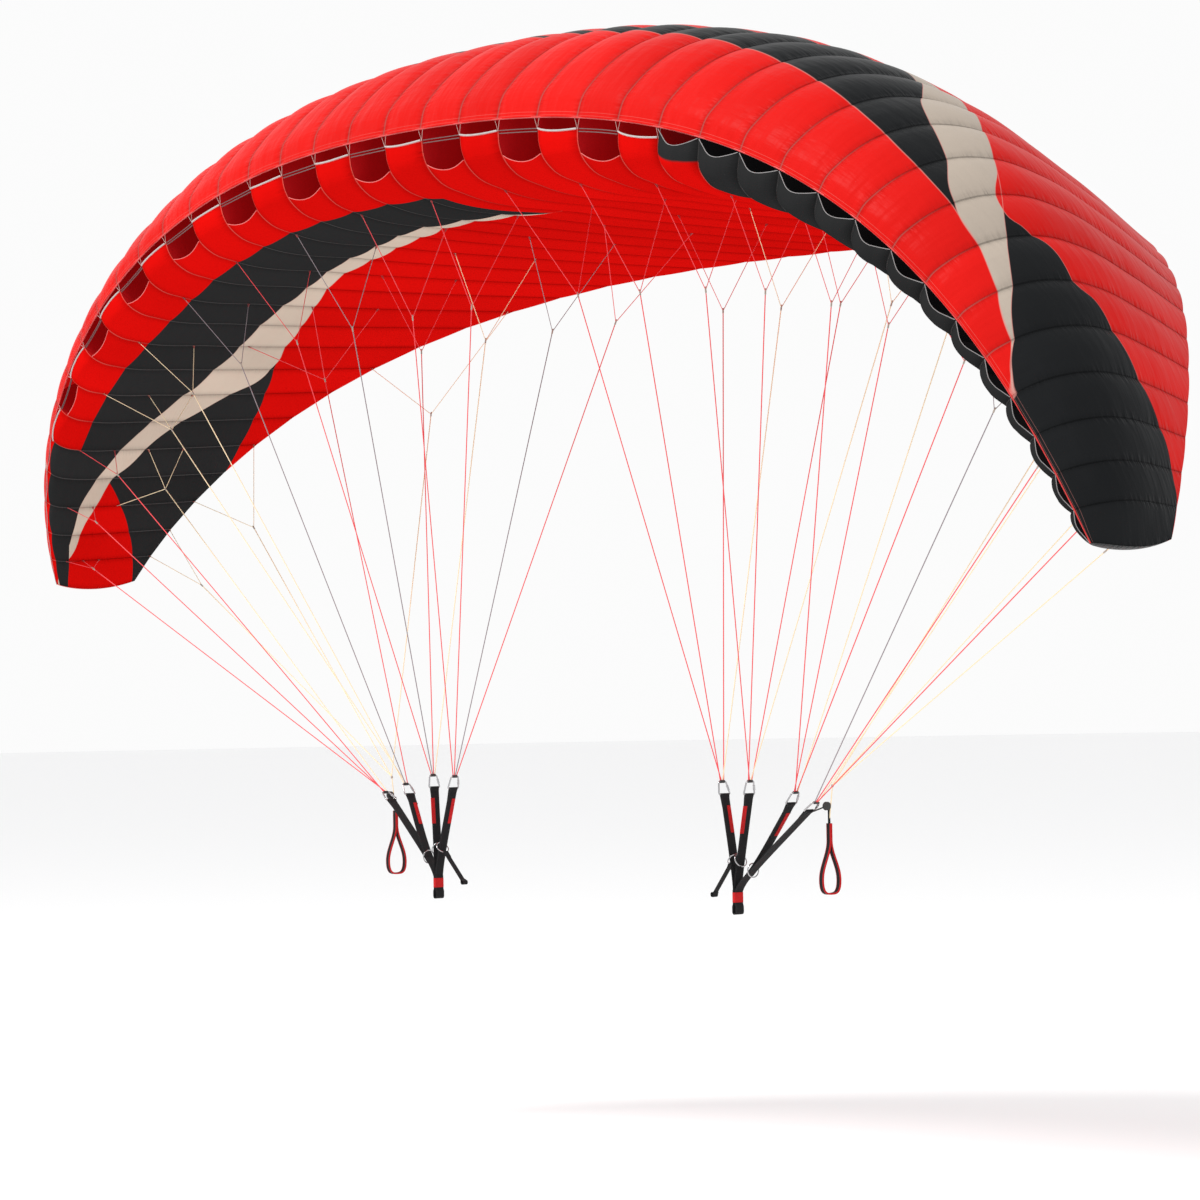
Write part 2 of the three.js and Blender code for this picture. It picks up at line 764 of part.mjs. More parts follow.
// A closed tube along a polygon, mitred at its corners.
function polygonTube(places, radius, sides) {
  const count = places.length;
  const normal = new THREE.Vector3();
  places.forEach((place, i) => {
    normal.add(new THREE.Vector3().crossVectors(place, places[(i + 1) % count]));
  });
  normal.normalize();
  const positions = [];
  const index = [];
  places.forEach((place, i) => {
    const before = place.clone().sub(places[(i + count - 1) % count]).normalize();
    const after = places[(i + 1) % count].clone().sub(place).normalize();
    const along = before.clone().add(after).normalize();
    const outward = new THREE.Vector3().crossVectors(along, normal);
    const mitre = 1 / Math.max(along.dot(before), 0.5);
    for (let s = 0; s < sides; s += 1) {
      const angle = ((s + 0.5) * Math.PI * 2) / sides;
      const corner = place.clone().addScaledVector(outward, Math.cos(angle) * radius * mitre);
      positions.push(...corner.addScaledVector(normal, Math.sin(angle) * radius).toArray());
      const [here, there] = [i * sides, ((i + 1) % count) * sides];
      const next = (s + 1) % sides;
      index.push(here + s, there + s, there + next, here + s, there + next, here + next);
    }
  });
  const geometry = new THREE.BufferGeometry();
  geometry.setAttribute('position', new THREE.Float32BufferAttribute(positions, 3));
  geometry.setIndex(index);
  return geometry;
}

for (const riser of ['a', 'b', 'c', 'd']) {
  addPair(`quick_link_${riser}`, quickLink(riser), STEEL);
}

// ---------------------------------------------------------------- riser straps

// Webbing seen from its edge: a route in X and Z, extruded across its width along Y and sheared to
// the route's own Y.
function webbing(route, width, eye) {
  const places = route.map(vec);
  const flat = places.map((p) => new THREE.Vector2(p.x, p.z));
  const ways = flat.slice(1).map((p, i) => p.clone().sub(flat[i]).normalize());
  const left = [];
  const right = [];
  flat.forEach((p, i) => {
    const before = ways[Math.max(i - 1, 0)];
    const after = ways[Math.min(i, ways.length - 1)];
    const along = before.clone().add(after).normalize();
    const reach = WEBBING / 2 / along.dot(before);
    const across = new THREE.Vector2(-along.y, along.x).multiplyScalar(reach);
    const start = i === 0 ? p.clone().addScaledVector(ways[0], eye ? eye.bore + 1 : 0) : p;
    left.push(start.clone().add(across));
    right.push(start.clone().sub(across));
  });
  const parts = [acrossY(new THREE.Shape([...left, ...right.reverse()]), width)];
  if (eye) {
    const ring = new THREE.Shape().absarc(flat[0].x, flat[0].y, eye.bore + EYE_WALL, 0, Math.PI * 2);
    ring.holes.push(new THREE.Path().absarc(flat[0].x, flat[0].y, eye.bore, 0, Math.PI * 2, true));
    parts.push(acrossY(ring, width));
  }
  return shear(fuse(parts), places[0], places[places.length - 1]);
}

function acrossY(shape, width) {
  const piece = new THREE.ExtrudeGeometry(shape, extrusion(width));
  piece.translate(0, 0, -width / 2);
  return piece.rotateX(Math.PI / 2);
}

// Moves a piece along Y so that it runs from one point's Y to another's over their heights.
function shear(geometry, from, to) {
  const position = geometry.attributes.position;
  for (let i = 0; i < position.count; i += 1) {
    const share = (position.getZ(i) - from.z) / (to.z - from.z);
    position.setY(i, position.getY(i) + THREE.MathUtils.lerp(from.y, to.y, share));
  }
  return geometry;
}

// A front strap: slanting webbing down to the join, then a straight tail into the hang loop.
function frontStrap(route) {
  const tail = route.slice(-2).map(([x, y, z], i) => [x, y, i === 0 ? z + WEBBING : z]);
  return fuse([webbing(route.slice(0, -1), WEBBING_WIDTH, strapEye), webbing(tail, WEBBING_WIDTH)]);
}

const strapEye = { bore: EYE_BORE };
addPair('riser_a', frontStrap(STRAP_ROUTES.a), BLACK);
addPair('riser_b', frontStrap(STRAP_ROUTES.b), BLACK);
addPair('riser_c', frontStrap(STRAP_ROUTES.c), BLACK);

// The rear strap carries the tab of the brake pulley.
function rearStrap() {
  const [top, below] = STRAP_ROUTES.d.map(vec);
  const down = below.clone().sub(top).normalize();
  const root = top.clone().addScaledVector(down, TAB_DROP);
  const pulley = vec(PULLEY);
  const way = pulley.clone().sub(root).normalize();
  const end = pulley.clone().addScaledVector(way, -PULLEY_RADIUS - TOUCH_GAP);
  const length = end.distanceTo(root);
  const tab = new THREE.BoxGeometry(length, TAB_WIDTH, WEBBING);
  const side = new THREE.Vector3().crossVectors(way, new THREE.Vector3(0, 0, 1)).normalize().negate();
  const up = new THREE.Vector3().crossVectors(way, side);
  const middle = root.clone().add(end).multiplyScalar(0.5);
  tab.applyMatrix4(new THREE.Matrix4().makeBasis(way, side, up).setPosition(middle));
  return fuse([webbing(STRAP_ROUTES.d, WEBBING_WIDTH, strapEye), tab]);
}

addPair('riser_d', rearStrap(), BLACK);

// Red labels folded over one edge of a strap.
function edgeLabel(riser, edge) {
  const [top, below] = STRAP_ROUTES[riser].map(vec);
  const down = below.clone().sub(top).normalize();
  const gap = WEBBING / 2 + TOUCH_GAP;
  const wall = gap + LABEL_CLOTH;
  const inner = WEBBING_WIDTH / 2 - LABEL_WIDTH;
  const rim = WEBBING_WIDTH / 2 + TOUCH_GAP;
  const outline = new THREE.Shape([
    [inner, -wall],
    [rim + LABEL_CLOTH, -wall],
    [rim + LABEL_CLOTH, wall],
    [inner, wall],
    [inner, gap],
    [rim, gap],
    [rim, -gap],
    [inner, -gap],
  ].map(([y, t]) => new THREE.Vector2(y, t)));
  const label = new THREE.ExtrudeGeometry(outline, extrusion(LABEL_LENGTH));
  const across = new THREE.Vector3(0, edge, 0);
  const face = new THREE.Vector3(-down.z, 0, down.x).normalize().multiplyScalar(edge);
  const start = top.clone().addScaledVector(down, LABEL_START);
  return label.applyMatrix4(new THREE.Matrix4().makeBasis(across, face, down).setPosition(start));
}

for (const [riser, edge] of Object.entries(LABELS)) {
  addPair(`riser_label_${riser}`, edgeLabel(riser, edge), RED);
}

// ---------------------------------------------------------------- rings

// A ring around a strap: its plane holds Y and the given way.
function strapRing(centre, way) {
  const ring = new THREE.TorusGeometry(RING_RADIUS, RING_WIRE, RING_SIDES, RING_STEPS);
  const across = new THREE.Vector3(0, 1, 0);
  const normal = new THREE.Vector3().crossVectors(across, way).normalize();
  return ring.applyMatrix4(new THREE.Matrix4().makeBasis(across, way, normal).setPosition(centre));
}

function tiltedWay(from, to, tilt) {
  const way = to.clone().sub(from);
  way.y = 0;
  return way.normalize().applyAxisAngle(new THREE.Vector3(0, 1, 0), tilt);
}

const ringA = vec(STRAP_ROUTES.a[1]);
const innerEnd = vec(INNER_END);
const innerWay = tiltedWay(ringA, innerEnd, 0);
addPair('ring_a', strapRing(ringA, innerWay), STEEL);

const ringB = vec(STRAP_ROUTES.b[1]);
addPair('ring_b', strapRing(ringB, tiltedWay(vec(STRAP_ROUTES.b[0]), ringB, -RING_B_TILT)), STEEL);

const rearJoin = vec(STRAP_ROUTES.c[1]);
const rearWay = vec(STRAP_ROUTES.c[2]).sub(rearJoin).normalize();
const buckleCentre = rearJoin.clone().addScaledVector(rearWay, BUCKLE_DROP);
addPair('ring_c', strapRing(buckleCentre, tiltedWay(rearJoin, vec(STRAP_ROUTES.c[2]), -BUCKLE_TILT)), STEEL);

// ---------------------------------------------------------------- inner straps and hang loops

// The inner strap hangs on ring A and has an empty eye at its lower end.
function innerStrap() {
  const sag = RING_RADIUS - Math.sqrt(RING_RADIUS ** 2 - (INNER_WIDTH / 2) ** 2);
  const start = ringA.clone().addScaledVector(innerWay, RING_RADIUS - sag / 2);
  const route = [start.toArray(), INNER_END];
  const strip = webbing(route, INNER_WIDTH, { bore: INNER_BORE });
  const eye = new THREE.Shape().absarc(innerEnd.x, innerEnd.z, INNER_EYE, 0, Math.PI * 2);
  const hole = new THREE.Shape().absarc(innerEnd.x, innerEnd.z, INNER_EYE - WEBBING, 0, Math.PI * 2);
  const disc = acrossY(eye, INNER_WIDTH).translate(0, innerEnd.y, 0);
  const bore = acrossY(hole, INNER_WIDTH * 2).translate(0, innerEnd.y, 0);
  return fromSolid(cleaned(toSolid(strip).add(toSolid(disc)).subtract(toSolid(bore))));
}

addPair('inner_strap', innerStrap(), BLACK);

// The hang loop holds the ends of three straps between its legs, with an empty eye below them.
function hangLoop() {
  const [x, y] = LOOP_CENTRE;
  const half = LOOP_HALF;
  const wall = WEBBING / 2;
  const side = (reach) => [
    new THREE.Vector2(x + half + reach, LOOP_TOP),
    new THREE.Vector2(x + half + reach, LOOP_NECK),
    new THREE.Vector2(x + LOOP_EYE_HALF + reach, LOOP_SHOULDER),
    new THREE.Vector2(x + LOOP_EYE_HALF + reach, LOOP_HIP),
    new THREE.Vector2(x + LOOP_EYE_HALF * 0.6 + reach * 0.8, LOOP_BOTTOM + wall + 3 - reach * 0.6),
    new THREE.Vector2(x, LOOP_BOTTOM + wall - reach),
  ];
  const flip = (p) => new THREE.Vector2(2 * x - p.x, p.y);
  const outer = side(wall);
  const inner = side(-wall);
  const outerBack = outer.slice(0, -1).reverse().map(flip);
  const innerBack = inner.slice(0, -1).map(flip);
  const outline = new THREE.Shape([...outer, ...outerBack, ...innerBack, ...inner.reverse()]);
  return acrossY(outline, WEBBING_WIDTH).translate(0, y, 0);
}

addPair('hang_loop', hangLoop(), BLACK);

function redBand() {
  const [x, y] = LOOP_CENTRE;
  const halfX = LOOP_HALF + WEBBING / 2 + TOUCH_GAP;
  const halfY = WEBBING_WIDTH / 2 + TOUCH_GAP;
  const rectangle = (grow) => [
    new THREE.Vector2(-halfX - grow, -halfY - grow),
    new THREE.Vector2(halfX + grow, -halfY - grow),
    new THREE.Vector2(halfX + grow, halfY + grow),
    new THREE.Vector2(-halfX - grow, halfY + grow),
  ];
  const outline = new THREE.Shape(rectangle(BAND_CLOTH));
  outline.holes.push(new THREE.Path(rectangle(0)));
  const band = new THREE.ExtrudeGeometry(outline, extrusion(BAND_TOP - BAND_BOTTOM));
  return band.translate(x, y, BAND_BOTTOM);
}

addPair('red_band', redBand(), RED);

// ---------------------------------------------------------------- brakes

function pulley() {
  const half = PULLEY_WIDTH / 2;
  const profile = [
    [0, -half],
    [PULLEY_RADIUS, -half],
    [PULLEY_RADIUS, -half + PULLEY_RIM],
    [PULLEY_RADIUS - PULLEY_GROOVE, 0],
    [PULLEY_RADIUS, half - PULLEY_RIM],
    [PULLEY_RADIUS, half],
    [0, half],
  ].map(([r, w]) => new THREE.Vector2(r, w));
  const sheave = new THREE.LatheGeometry(profile, 12);
  sheave.rotateZ(-Math.PI / 2);
  return sheave.translate(...PULLEY);
}

addPair('brake_pulley', pulley(), STEEL);

// The handle hangs in the YZ plane: a doubled grip strip that opens into a teardrop loop.
function brakeHandle() {
  const [x, y, z] = HANDLE_TOP;
  const teardrop = (reach) => {
    const neck = z - HANDLE_GRIP + reach * 2;
    const foot = z - HANDLE_LENGTH - reach;
    const half = HANDLE_HALF + reach;
    const neckHalf = HANDLE_WEBBING + reach;
    const widest = foot + half * HANDLE_ROUNDNESS;
    const shape = new THREE.Path();
    shape.moveTo(neckHalf, neck);
    shape.bezierCurveTo(neckHalf, neck - HANDLE_EASE, half, widest + HANDLE_EASE, half, widest);
    shape.bezierCurveTo(half, foot, half / 2, foot, 0, foot);
    shape.bezierCurveTo(-half / 2, foot, -half, foot, -half, widest);
    shape.bezierCurveTo(-half, widest + HANDLE_EASE, -neckHalf, neck - HANDLE_EASE, -neckHalf, neck);
    return shape.getPoints(CURVE_STEPS);
  };
  const outline = new THREE.Shape([
    new THREE.Vector2(HANDLE_WEBBING, z),
    ...teardrop(0),
    new THREE.Vector2(-HANDLE_WEBBING, z),
  ].reverse());
  outline.holes.push(new THREE.Path(teardrop(-HANDLE_WEBBING)));
  const loop = new THREE.ExtrudeGeometry(outline, extrusion(HANDLE_WIDTH));
  loop.translate(0, 0, -HANDLE_WIDTH / 2);
  const across = new THREE.Vector3(1, 0, 0);
  const basis = new THREE.Matrix4().makeBasis(new THREE.Vector3(0, 1, 0), new THREE.Vector3(0, 0, 1), across);
  return loop.applyMatrix4(basis.setPosition(new THREE.Vector3(x, y, 0)));
}

addPair('brake_handle', brakeHandle(), BLACK);

export default wing;
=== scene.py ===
# %% [markdown]
# # A paraglider wing, dressed
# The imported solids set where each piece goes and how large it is. This notebook lays cloth, cord,
# webbing and steel over them. The real wing is an arched bag of coated nylon: ribs divide it into
# forty cells, air fills the cells through mouths in the nose, and lines run from the lower cloth to
# two webbing risers.
# Frame: X along the span, the wing flies towards -Y, Z up, the middle of the lip at the origin.

import math

import bpy
import numpy as np
from mathutils import Matrix, Vector


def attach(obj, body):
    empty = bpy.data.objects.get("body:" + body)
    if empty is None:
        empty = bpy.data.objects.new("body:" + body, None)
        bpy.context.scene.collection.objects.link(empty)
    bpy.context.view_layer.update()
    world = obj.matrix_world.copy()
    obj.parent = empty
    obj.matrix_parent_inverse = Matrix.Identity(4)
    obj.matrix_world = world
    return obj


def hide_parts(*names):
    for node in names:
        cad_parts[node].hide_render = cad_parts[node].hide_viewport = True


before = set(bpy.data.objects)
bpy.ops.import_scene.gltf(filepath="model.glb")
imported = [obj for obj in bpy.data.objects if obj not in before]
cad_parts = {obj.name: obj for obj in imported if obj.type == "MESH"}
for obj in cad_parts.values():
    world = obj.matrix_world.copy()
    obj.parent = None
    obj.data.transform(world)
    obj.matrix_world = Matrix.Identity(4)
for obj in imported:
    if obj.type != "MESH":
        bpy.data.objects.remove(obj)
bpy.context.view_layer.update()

# %% [markdown]
# ## Camera and light
# A long lens from far away keeps the arch free of distortion. The camera is set from its own axes,
# because it is rolled by one degree. The stage is one pale floor well under the risers, a pale sky and
# two large soft lamps, one high in front and one low at the side, so that each billow has a lit and a
# shaded flank.

# %% Camera
AZIMUTH, ELEVATION, ROLL = 0.916, -0.009, -0.018
TARGET = Vector((1.226, 0.5, -3.173))
DISTANCE, LENS, SENSOR = 31.25, 143.49, 36

back = Vector(
    (math.sin(AZIMUTH) * math.cos(ELEVATION), -math.cos(AZIMUTH) * math.cos(ELEVATION), math.sin(ELEVATION))
)
side = (-back).cross(Vector((0, 0, 1))).normalized()
top = side.cross(-back)
side, top = (
    math.cos(ROLL) * side + math.sin(ROLL) * top,
    math.cos(ROLL) * top - math.sin(ROLL) * side,
)
camera = bpy.data.objects.new("camera", bpy.data.cameras.new("camera"))
bpy.context.scene.collection.objects.link(camera)
turn = Matrix((side, top, back)).transposed().to_4x4()
camera.matrix_world = Matrix.Translation(TARGET + DISTANCE * back) @ turn
camera.data.lens = LENS
camera.data.sensor_width = SENSOR
camera.data.clip_end = 400
bpy.context.scene.camera = camera
print("camera", DISTANCE, "m from its target, lens", LENS, "mm")


# %% Floor, sky and lamps
FLOOR_RADIUS, FLOOR_HEIGHT = 150, -7.2


def deselect():
    if bpy.context.object and bpy.context.object.mode != "OBJECT":
        bpy.ops.object.mode_set(mode="OBJECT")
    bpy.ops.object.select_all(action="DESELECT")


deselect()
bpy.ops.mesh.primitive_circle_add(
    vertices=96, radius=FLOOR_RADIUS, fill_type="NGON", location=(0, 0, FLOOR_HEIGHT)
)
floor = bpy.context.object
floor.name = "floor"
pale = bpy.data.materials.new("pale floor")
pale.use_nodes = True
pale.node_tree.nodes["Principled BSDF"].inputs["Base Color"].default_value = (0.93, 0.93, 0.935, 1)
pale.node_tree.nodes["Principled BSDF"].inputs["Roughness"].default_value = 0.9
floor.data.materials.append(pale)

world = bpy.data.worlds.new("sky")
world.use_nodes = True
world.node_tree.nodes["Background"].inputs["Color"].default_value = (1, 1, 1, 1)
world.node_tree.nodes["Background"].inputs["Strength"].default_value = 0.97
bpy.context.scene.world = world
bpy.context.scene.view_settings.view_transform = "Standard"


def lamp(name, place, aim, size, power, colour):
    data = bpy.data.lights.new(name, "AREA")
    data.shape = "DISK"
    data.size = size
    data.energy = power
    data.color = colour
    thing = bpy.data.objects.new(name, data)
    bpy.context.scene.collection.objects.link(thing)
    thing.location = place
    thing.rotation_euler = (Vector(aim) - Vector(place)).to_track_quat("-Z", "Y").to_euler()


lamp("key lamp", (-8, -20, 24), (0, 1, -1), 8, 8200, (1, 0.985, 0.96))
lamp("fill lamp", (24, -8, 5), (1, 1, -2), 12, 500, (0.95, 0.975, 1))


# %% [markdown]
# ## Shape of the wing
# The cloth follows a few smooth laws, the same ones that the solids were built from: how the arch
# bends along the span, how the chord shortens, and one wing profile. Writing them as functions of
# place lets every seam, mouth, line tab and colour field find its spot on the wing. A place along the
# span is counted in cells from the middle rib, so ribs lie at whole numbers from -20 to 20.

# %% Span laws
HALF_ARC, CELLS, CELL_TAPER, MIDDLE_CHORD = 7.0, 20, 0.567, 4.36
ARC_STEPS = 2000
cell_widths = 1 - CELL_TAPER * ((np.arange(CELLS) + 0.5) / CELLS) ** 2
rib_shares = np.concatenate([[0], np.cumsum(cell_widths)]) / cell_widths.sum()


def arc_angle(u):
    return 0.29 * u + 0.825 * u**2 + 0.335 * u**4 - 0.10 * u**8


fine = np.linspace(0, 1, ARC_STEPS + 1)
bend = arc_angle(fine)
step = HALF_ARC / ARC_STEPS
arc_x = np.concatenate([[0], np.cumsum(np.cos((bend[1:] + bend[:-1]) / 2))]) * step
arc_z = -np.concatenate([[0], np.cumsum(np.sin((bend[1:] + bend[:-1]) / 2))]) * step


print("arch", round(2 * arc_x[-1], 2), "m wide and", round(-arc_z[-1], 2), "m deep")


def share_of(cells):
    return np.interp(np.abs(cells), np.arange(CELLS + 1), rib_shares)


def chord_of(u):
    return MIDDLE_CHORD * (1 - 0.888 * u**2 + 0.044 * u**6)


def along(vectors, lengths):
    return vectors * np.asarray(lengths)[..., None]


def section(cells):
    """Lip point, span, chord and height directions, chord and share of the half span."""
    cells = np.asarray(cells, float)
    hand = np.where(cells < 0, -1.0, 1.0)
    u = share_of(cells)
    angle = arc_angle(u)
    zero = np.zeros_like(u)
    sweep = 0.21 * u**2 + 0.39 * u**6
    lip = np.stack([hand * np.interp(u, fine, arc_x), sweep, np.interp(u, fine, arc_z)], -1)
    out = np.stack([hand * np.cos(angle), zero, -np.sin(angle)], -1)
    rise = np.stack([hand * np.sin(angle), zero, np.cos(angle)], -1)
    incidence = 0.138 - 0.10 * u**2
    toe = 0.028 * u + 0.014 * u**3
    rear = np.stack([zero, np.cos(toe), zero], -1) - along(out, np.sin(toe))
    rear = along(rear, np.cos(incidence)) - along(rise, np.sin(incidence))
    high = along(rise, np.cos(incidence)) + np.stack([zero, np.sin(incidence), zero], -1)
    return lip, out, rear, high, chord_of(u), u


# %% Profile laws
UPPER_KNOTS = [(0, 0), (0.004, 0.032), (0.025, 0.067), (0.08, 0.122), (0.17, 0.166), (0.30, 0.187)]
UPPER_KNOTS += [(0.47, 0.168), (0.70, 0.102), (1, 0)]
LOWER_KNOTS = [(0, 0), (0.003, -0.008), (0.006, -0.020), (0.010, -0.036), (0.021, -0.055), (0.045, -0.073)]
LOWER_KNOTS += [(0.10, -0.084), (0.32, -0.072), (0.62, -0.043), (1, 0)]


def smooth_through(knots, count=1200):
    """A smooth curve through the knots, sampled finely: each pair of knots gets a Hermite arc."""
    knots = np.array(knots, float)
    gaps = np.linalg.norm(np.diff(knots, axis=0), axis=1)
    marks = np.concatenate([[0], np.cumsum(gaps)])
    slopes = np.gradient(knots, marks, axis=0)
    at = np.linspace(0, marks[-1], count)
    cell = np.clip(np.searchsorted(marks, at, "right") - 1, 0, len(gaps) - 1)
    t = ((at - marks[cell]) / gaps[cell])[:, None]
    gap = gaps[cell][:, None]
    a, b = knots[cell], knots[cell + 1]
    points = (2 * t**3 - 3 * t**2 + 1) * a + (t**3 - 2 * t**2 + t) * gap * slopes[cell]
    points += (3 * t**2 - 2 * t**3) * b + (t**3 - t**2) * gap * slopes[cell + 1]
    ways = np.gradient(points, axis=0)
    normals = np.stack([-ways[:, 1], ways[:, 0]], -1)
    normals /= np.linalg.norm(normals, axis=1)[:, None]
    lengths = np.concatenate([[0], np.cumsum(np.linalg.norm(np.diff(points, axis=0), axis=1))])
    return {"points": points, "normals": normals, "lengths": lengths}


upper_curve = smooth_through(UPPER_KNOTS)
lower_curve = smooth_through(LOWER_KNOTS)
lower_curve["normals"] *= -1
TIP_THINNING, TIP_BOW, TRAILING_GAP = 0.55, 0.045, 0.007


def on_curve(curve, reach):
    """Profile point (v, h) and its outward direction at a length along the curve, in chords."""
    columns = [curve[part][:, axis] for part in ("points", "normals") for axis in (0, 1)]
    return [np.interp(reach, curve["lengths"], column) for column in columns]


def reach_at(curve, v, start=0.02):
    """The length along the curve where it passes chord share v, behind the nose."""
    rear = curve["lengths"] > start
    return float(np.interp(v, curve["points"][rear, 0], curve["lengths"][rear]))


def ease(low, high, x):
    t = np.clip((x - low) / (high - low), 0, 1)
    return t * t * (3 - 2 * t)


def cloth_point(cells, reach, bulge, curve, surface):
    """A point of the cloth: bulge is how far it stands out of the profile, in metres."""
    lip, out, rear, high, chord, u = section(cells)
    v, h, nv, nh = on_curve(curve, reach)
    tip = ease(rib_shares[CELLS - 1], 1, u)
    thin = 1 - TIP_THINNING * tip
    bow = np.maximum(TIP_BOW * tip * 4 * v * (1 - v), 0)
    gap = surface * TRAILING_GAP / 2 * v
    point = lip + along(rear, chord * v + nv * bulge) + along(high, chord * h * thin + gap + nh * bulge)
    return point + along(out, bow), v, u


print("middle chord", round(float(chord_of(0)), 3), "m, tip chord", round(float(chord_of(1)), 3), "m")

# %% [markdown]
# ## Upper cloth
# Air pushes the cloth out between the ribs, so each cell is a long pillow with a sharp valley at each
# seam. A plane grid with twelve columns a cell can hold that, if every column is set on the profile
# and pushed out by a rounded arch of the place within its cell. Small slow changes in the fill keep
# the pillows from looking turned on a lathe. A thin Solidify gives the cloth its two faces.

# %% Cloth helpers
CELL_METRES = cell_widths / cell_widths.sum() * HALF_ARC
ROUNDNESS = 0.82
print("cells are", round(CELL_METRES[-1], 3), "to", round(CELL_METRES[0], 3), "m wide")


def width_at(cells):
    inside = np.clip(np.floor(np.abs(cells) - 1e-9), 0, CELLS - 1).astype(int)
    return CELL_METRES[inside]


def pillow(within, roundness=ROUNDNESS):
    return np.clip(4 * within * (1 - within), 0, 1) ** roundness


def fill_change(cells, v):
    """A slow unevenness of the fill, the same each run."""
    cell = np.floor(cells)
    wave = 0.55 * np.sin(cell * 2.4 + v * 9) + 0.45 * np.sin(cell * 5.1 - v * 17 + 1.3)
    return 1 + 0.07 * wave


def grid_of(name, columns, rows):
    """A flat grid made with the primitive, and the column and row share of each of its vertices."""
    deselect()
    bpy.ops.mesh.primitive_grid_add(x_subdivisions=columns, y_subdivisions=rows, size=1)
    grid = bpy.context.object
    grid.name = grid.data.name = name
    flat = np.zeros(len(grid.data.vertices) * 3)
    grid.data.vertices.foreach_get("co", flat)
    flat = flat.reshape(-1, 3)
    return grid, flat[:, 0] + 0.5, flat[:, 1] + 0.5


def set_shape(grid, points, **maps):
    """Moves the vertices of a grid and gives it UV maps, from values at its vertices."""
    mesh = grid.data
    mesh.vertices.foreach_set("co", np.asarray(points, float).ravel())
    corner = np.zeros(len(mesh.loops), int)
    mesh.loops.foreach_get("vertex_index", corner)
    while mesh.uv_layers:
        mesh.uv_layers.remove(mesh.uv_layers[0])
    for title, values in maps.items():
        layer = mesh.uv_layers.new(name=title)
        layer.data.foreach_set("uv", values[corner].astype(np.float32).ravel())
    mesh.update()


def place_cloth(grid, points, cells, v, u, reach=None):
    """Sets the vertices, and two UV maps: cells across with chord share, and metres of cloth."""
    hand = np.where(cells < 0, -1.0, 1.0)
    metres = np.stack([hand * u * HALF_ARC, (v if reach is None else reach) * chord_of(u)], -1)
    set_shape(grid, points, cells=np.stack([cells, v], -1), metres=metres)


def pick(*things):
    """Selects these things only, with the first one active."""
    deselect()
    for thing in things:
        thing.select_set(True)
    bpy.context.view_layer.objects.active = things[0]


def on_whole_mesh(thing, operator, **settings):
    """Runs an edit mode operator with all of the mesh selected."""
    pick(thing)
    bpy.ops.object.mode_set(mode="EDIT")
    bpy.ops.mesh.select_all(action="SELECT")
    operator(**settings)
    bpy.ops.object.mode_set(mode="OBJECT")


def join_up(name, parts):
    pick(*parts)
    bpy.ops.object.join()
    parts[0].name = parts[0].data.name = name
    return parts[0]


def face_out(thing, centre):
    """Turns the faces so that most of them look away from a point."""
    some = list(thing.data.polygons)[::17]
    if sum((Vector(p.center) - Vector(centre)).dot(p.normal) * p.area for p in some) < 0:
        on_whole_mesh(thing, bpy.ops.mesh.flip_normals)


def apply_all(thing):
    pick(thing)
    for modifier in list(thing.modifiers):
        bpy.ops.object.modifier_apply(modifier=modifier.name)


def thicken(thing, thickness, inner=0):
    """Gives cloth its two faces. With inner=1 the faces behind take the second material."""
    solid = thing.modifiers.new("thickness", "SOLIDIFY")
    solid.thickness = thickness
    solid.offset = 0
    if inner:
        thing.data.materials.append(bpy.data.materials.new("outside"))
        thing.data.materials.append(bpy.data.materials.new("inside"))
    solid.material_offset = inner
    apply_all(thing)


def smooth(thing, degrees=60):
    pick(thing)
    bpy.ops.object.shade_smooth_by_angle(angle=math.radians(degrees))


# %% Upper cloth
CELL_COLUMNS, UPPER_ROWS = 12, 84
CLOTH, UPPER_FILL, TIP_LOSS = 0.0016, 0.085, 0.035
upper, across, chordwise = grid_of("upper_cloth", 2 * CELLS * CELL_COLUMNS, UPPER_ROWS)
cells = (across - 0.5) * 2 * CELLS
cells = np.round(cells * CELL_COLUMNS) / CELL_COLUMNS
within = cells - np.floor(cells)
reach = upper_curve["lengths"][-1] * chordwise**1.35
v_rough = on_curve(upper_curve, reach)[0]
front = ease(-0.05, 0.10, v_rough)
rear_fall = 1 - 0.62 * ease(0.7, 1, v_rough)
fill = UPPER_FILL - TIP_LOSS * ease(12, CELLS, np.abs(cells))
bulge = fill * width_at(cells) * front * rear_fall * pillow(within) * fill_change(cells, v_rough)
points, v, u = cloth_point(cells, reach, bulge, upper_curve, 1)
place_cloth(upper, points, cells, v, u, reach)
face_out(upper, (0, 2, -4))
thicken(upper, CLOTH, inner=1)
smooth(upper)
print("upper cloth", len(upper.data.polygons), "faces")

# %% [markdown]
# ## Lower cloth and the mouths
# Behind the nose the lower cloth is one sheet like the upper one, with a flatter billow. In front each
# cell has its own flap, cut as its mouth needs: closed flaps reach up to a rod under the lip, open
# cells have a hem that smiles from rib to rib, and scooped cells have deep flaps that start at the lip.
# So each cell gets a small grid of its own for the flap, joined to the big grid where they meet.

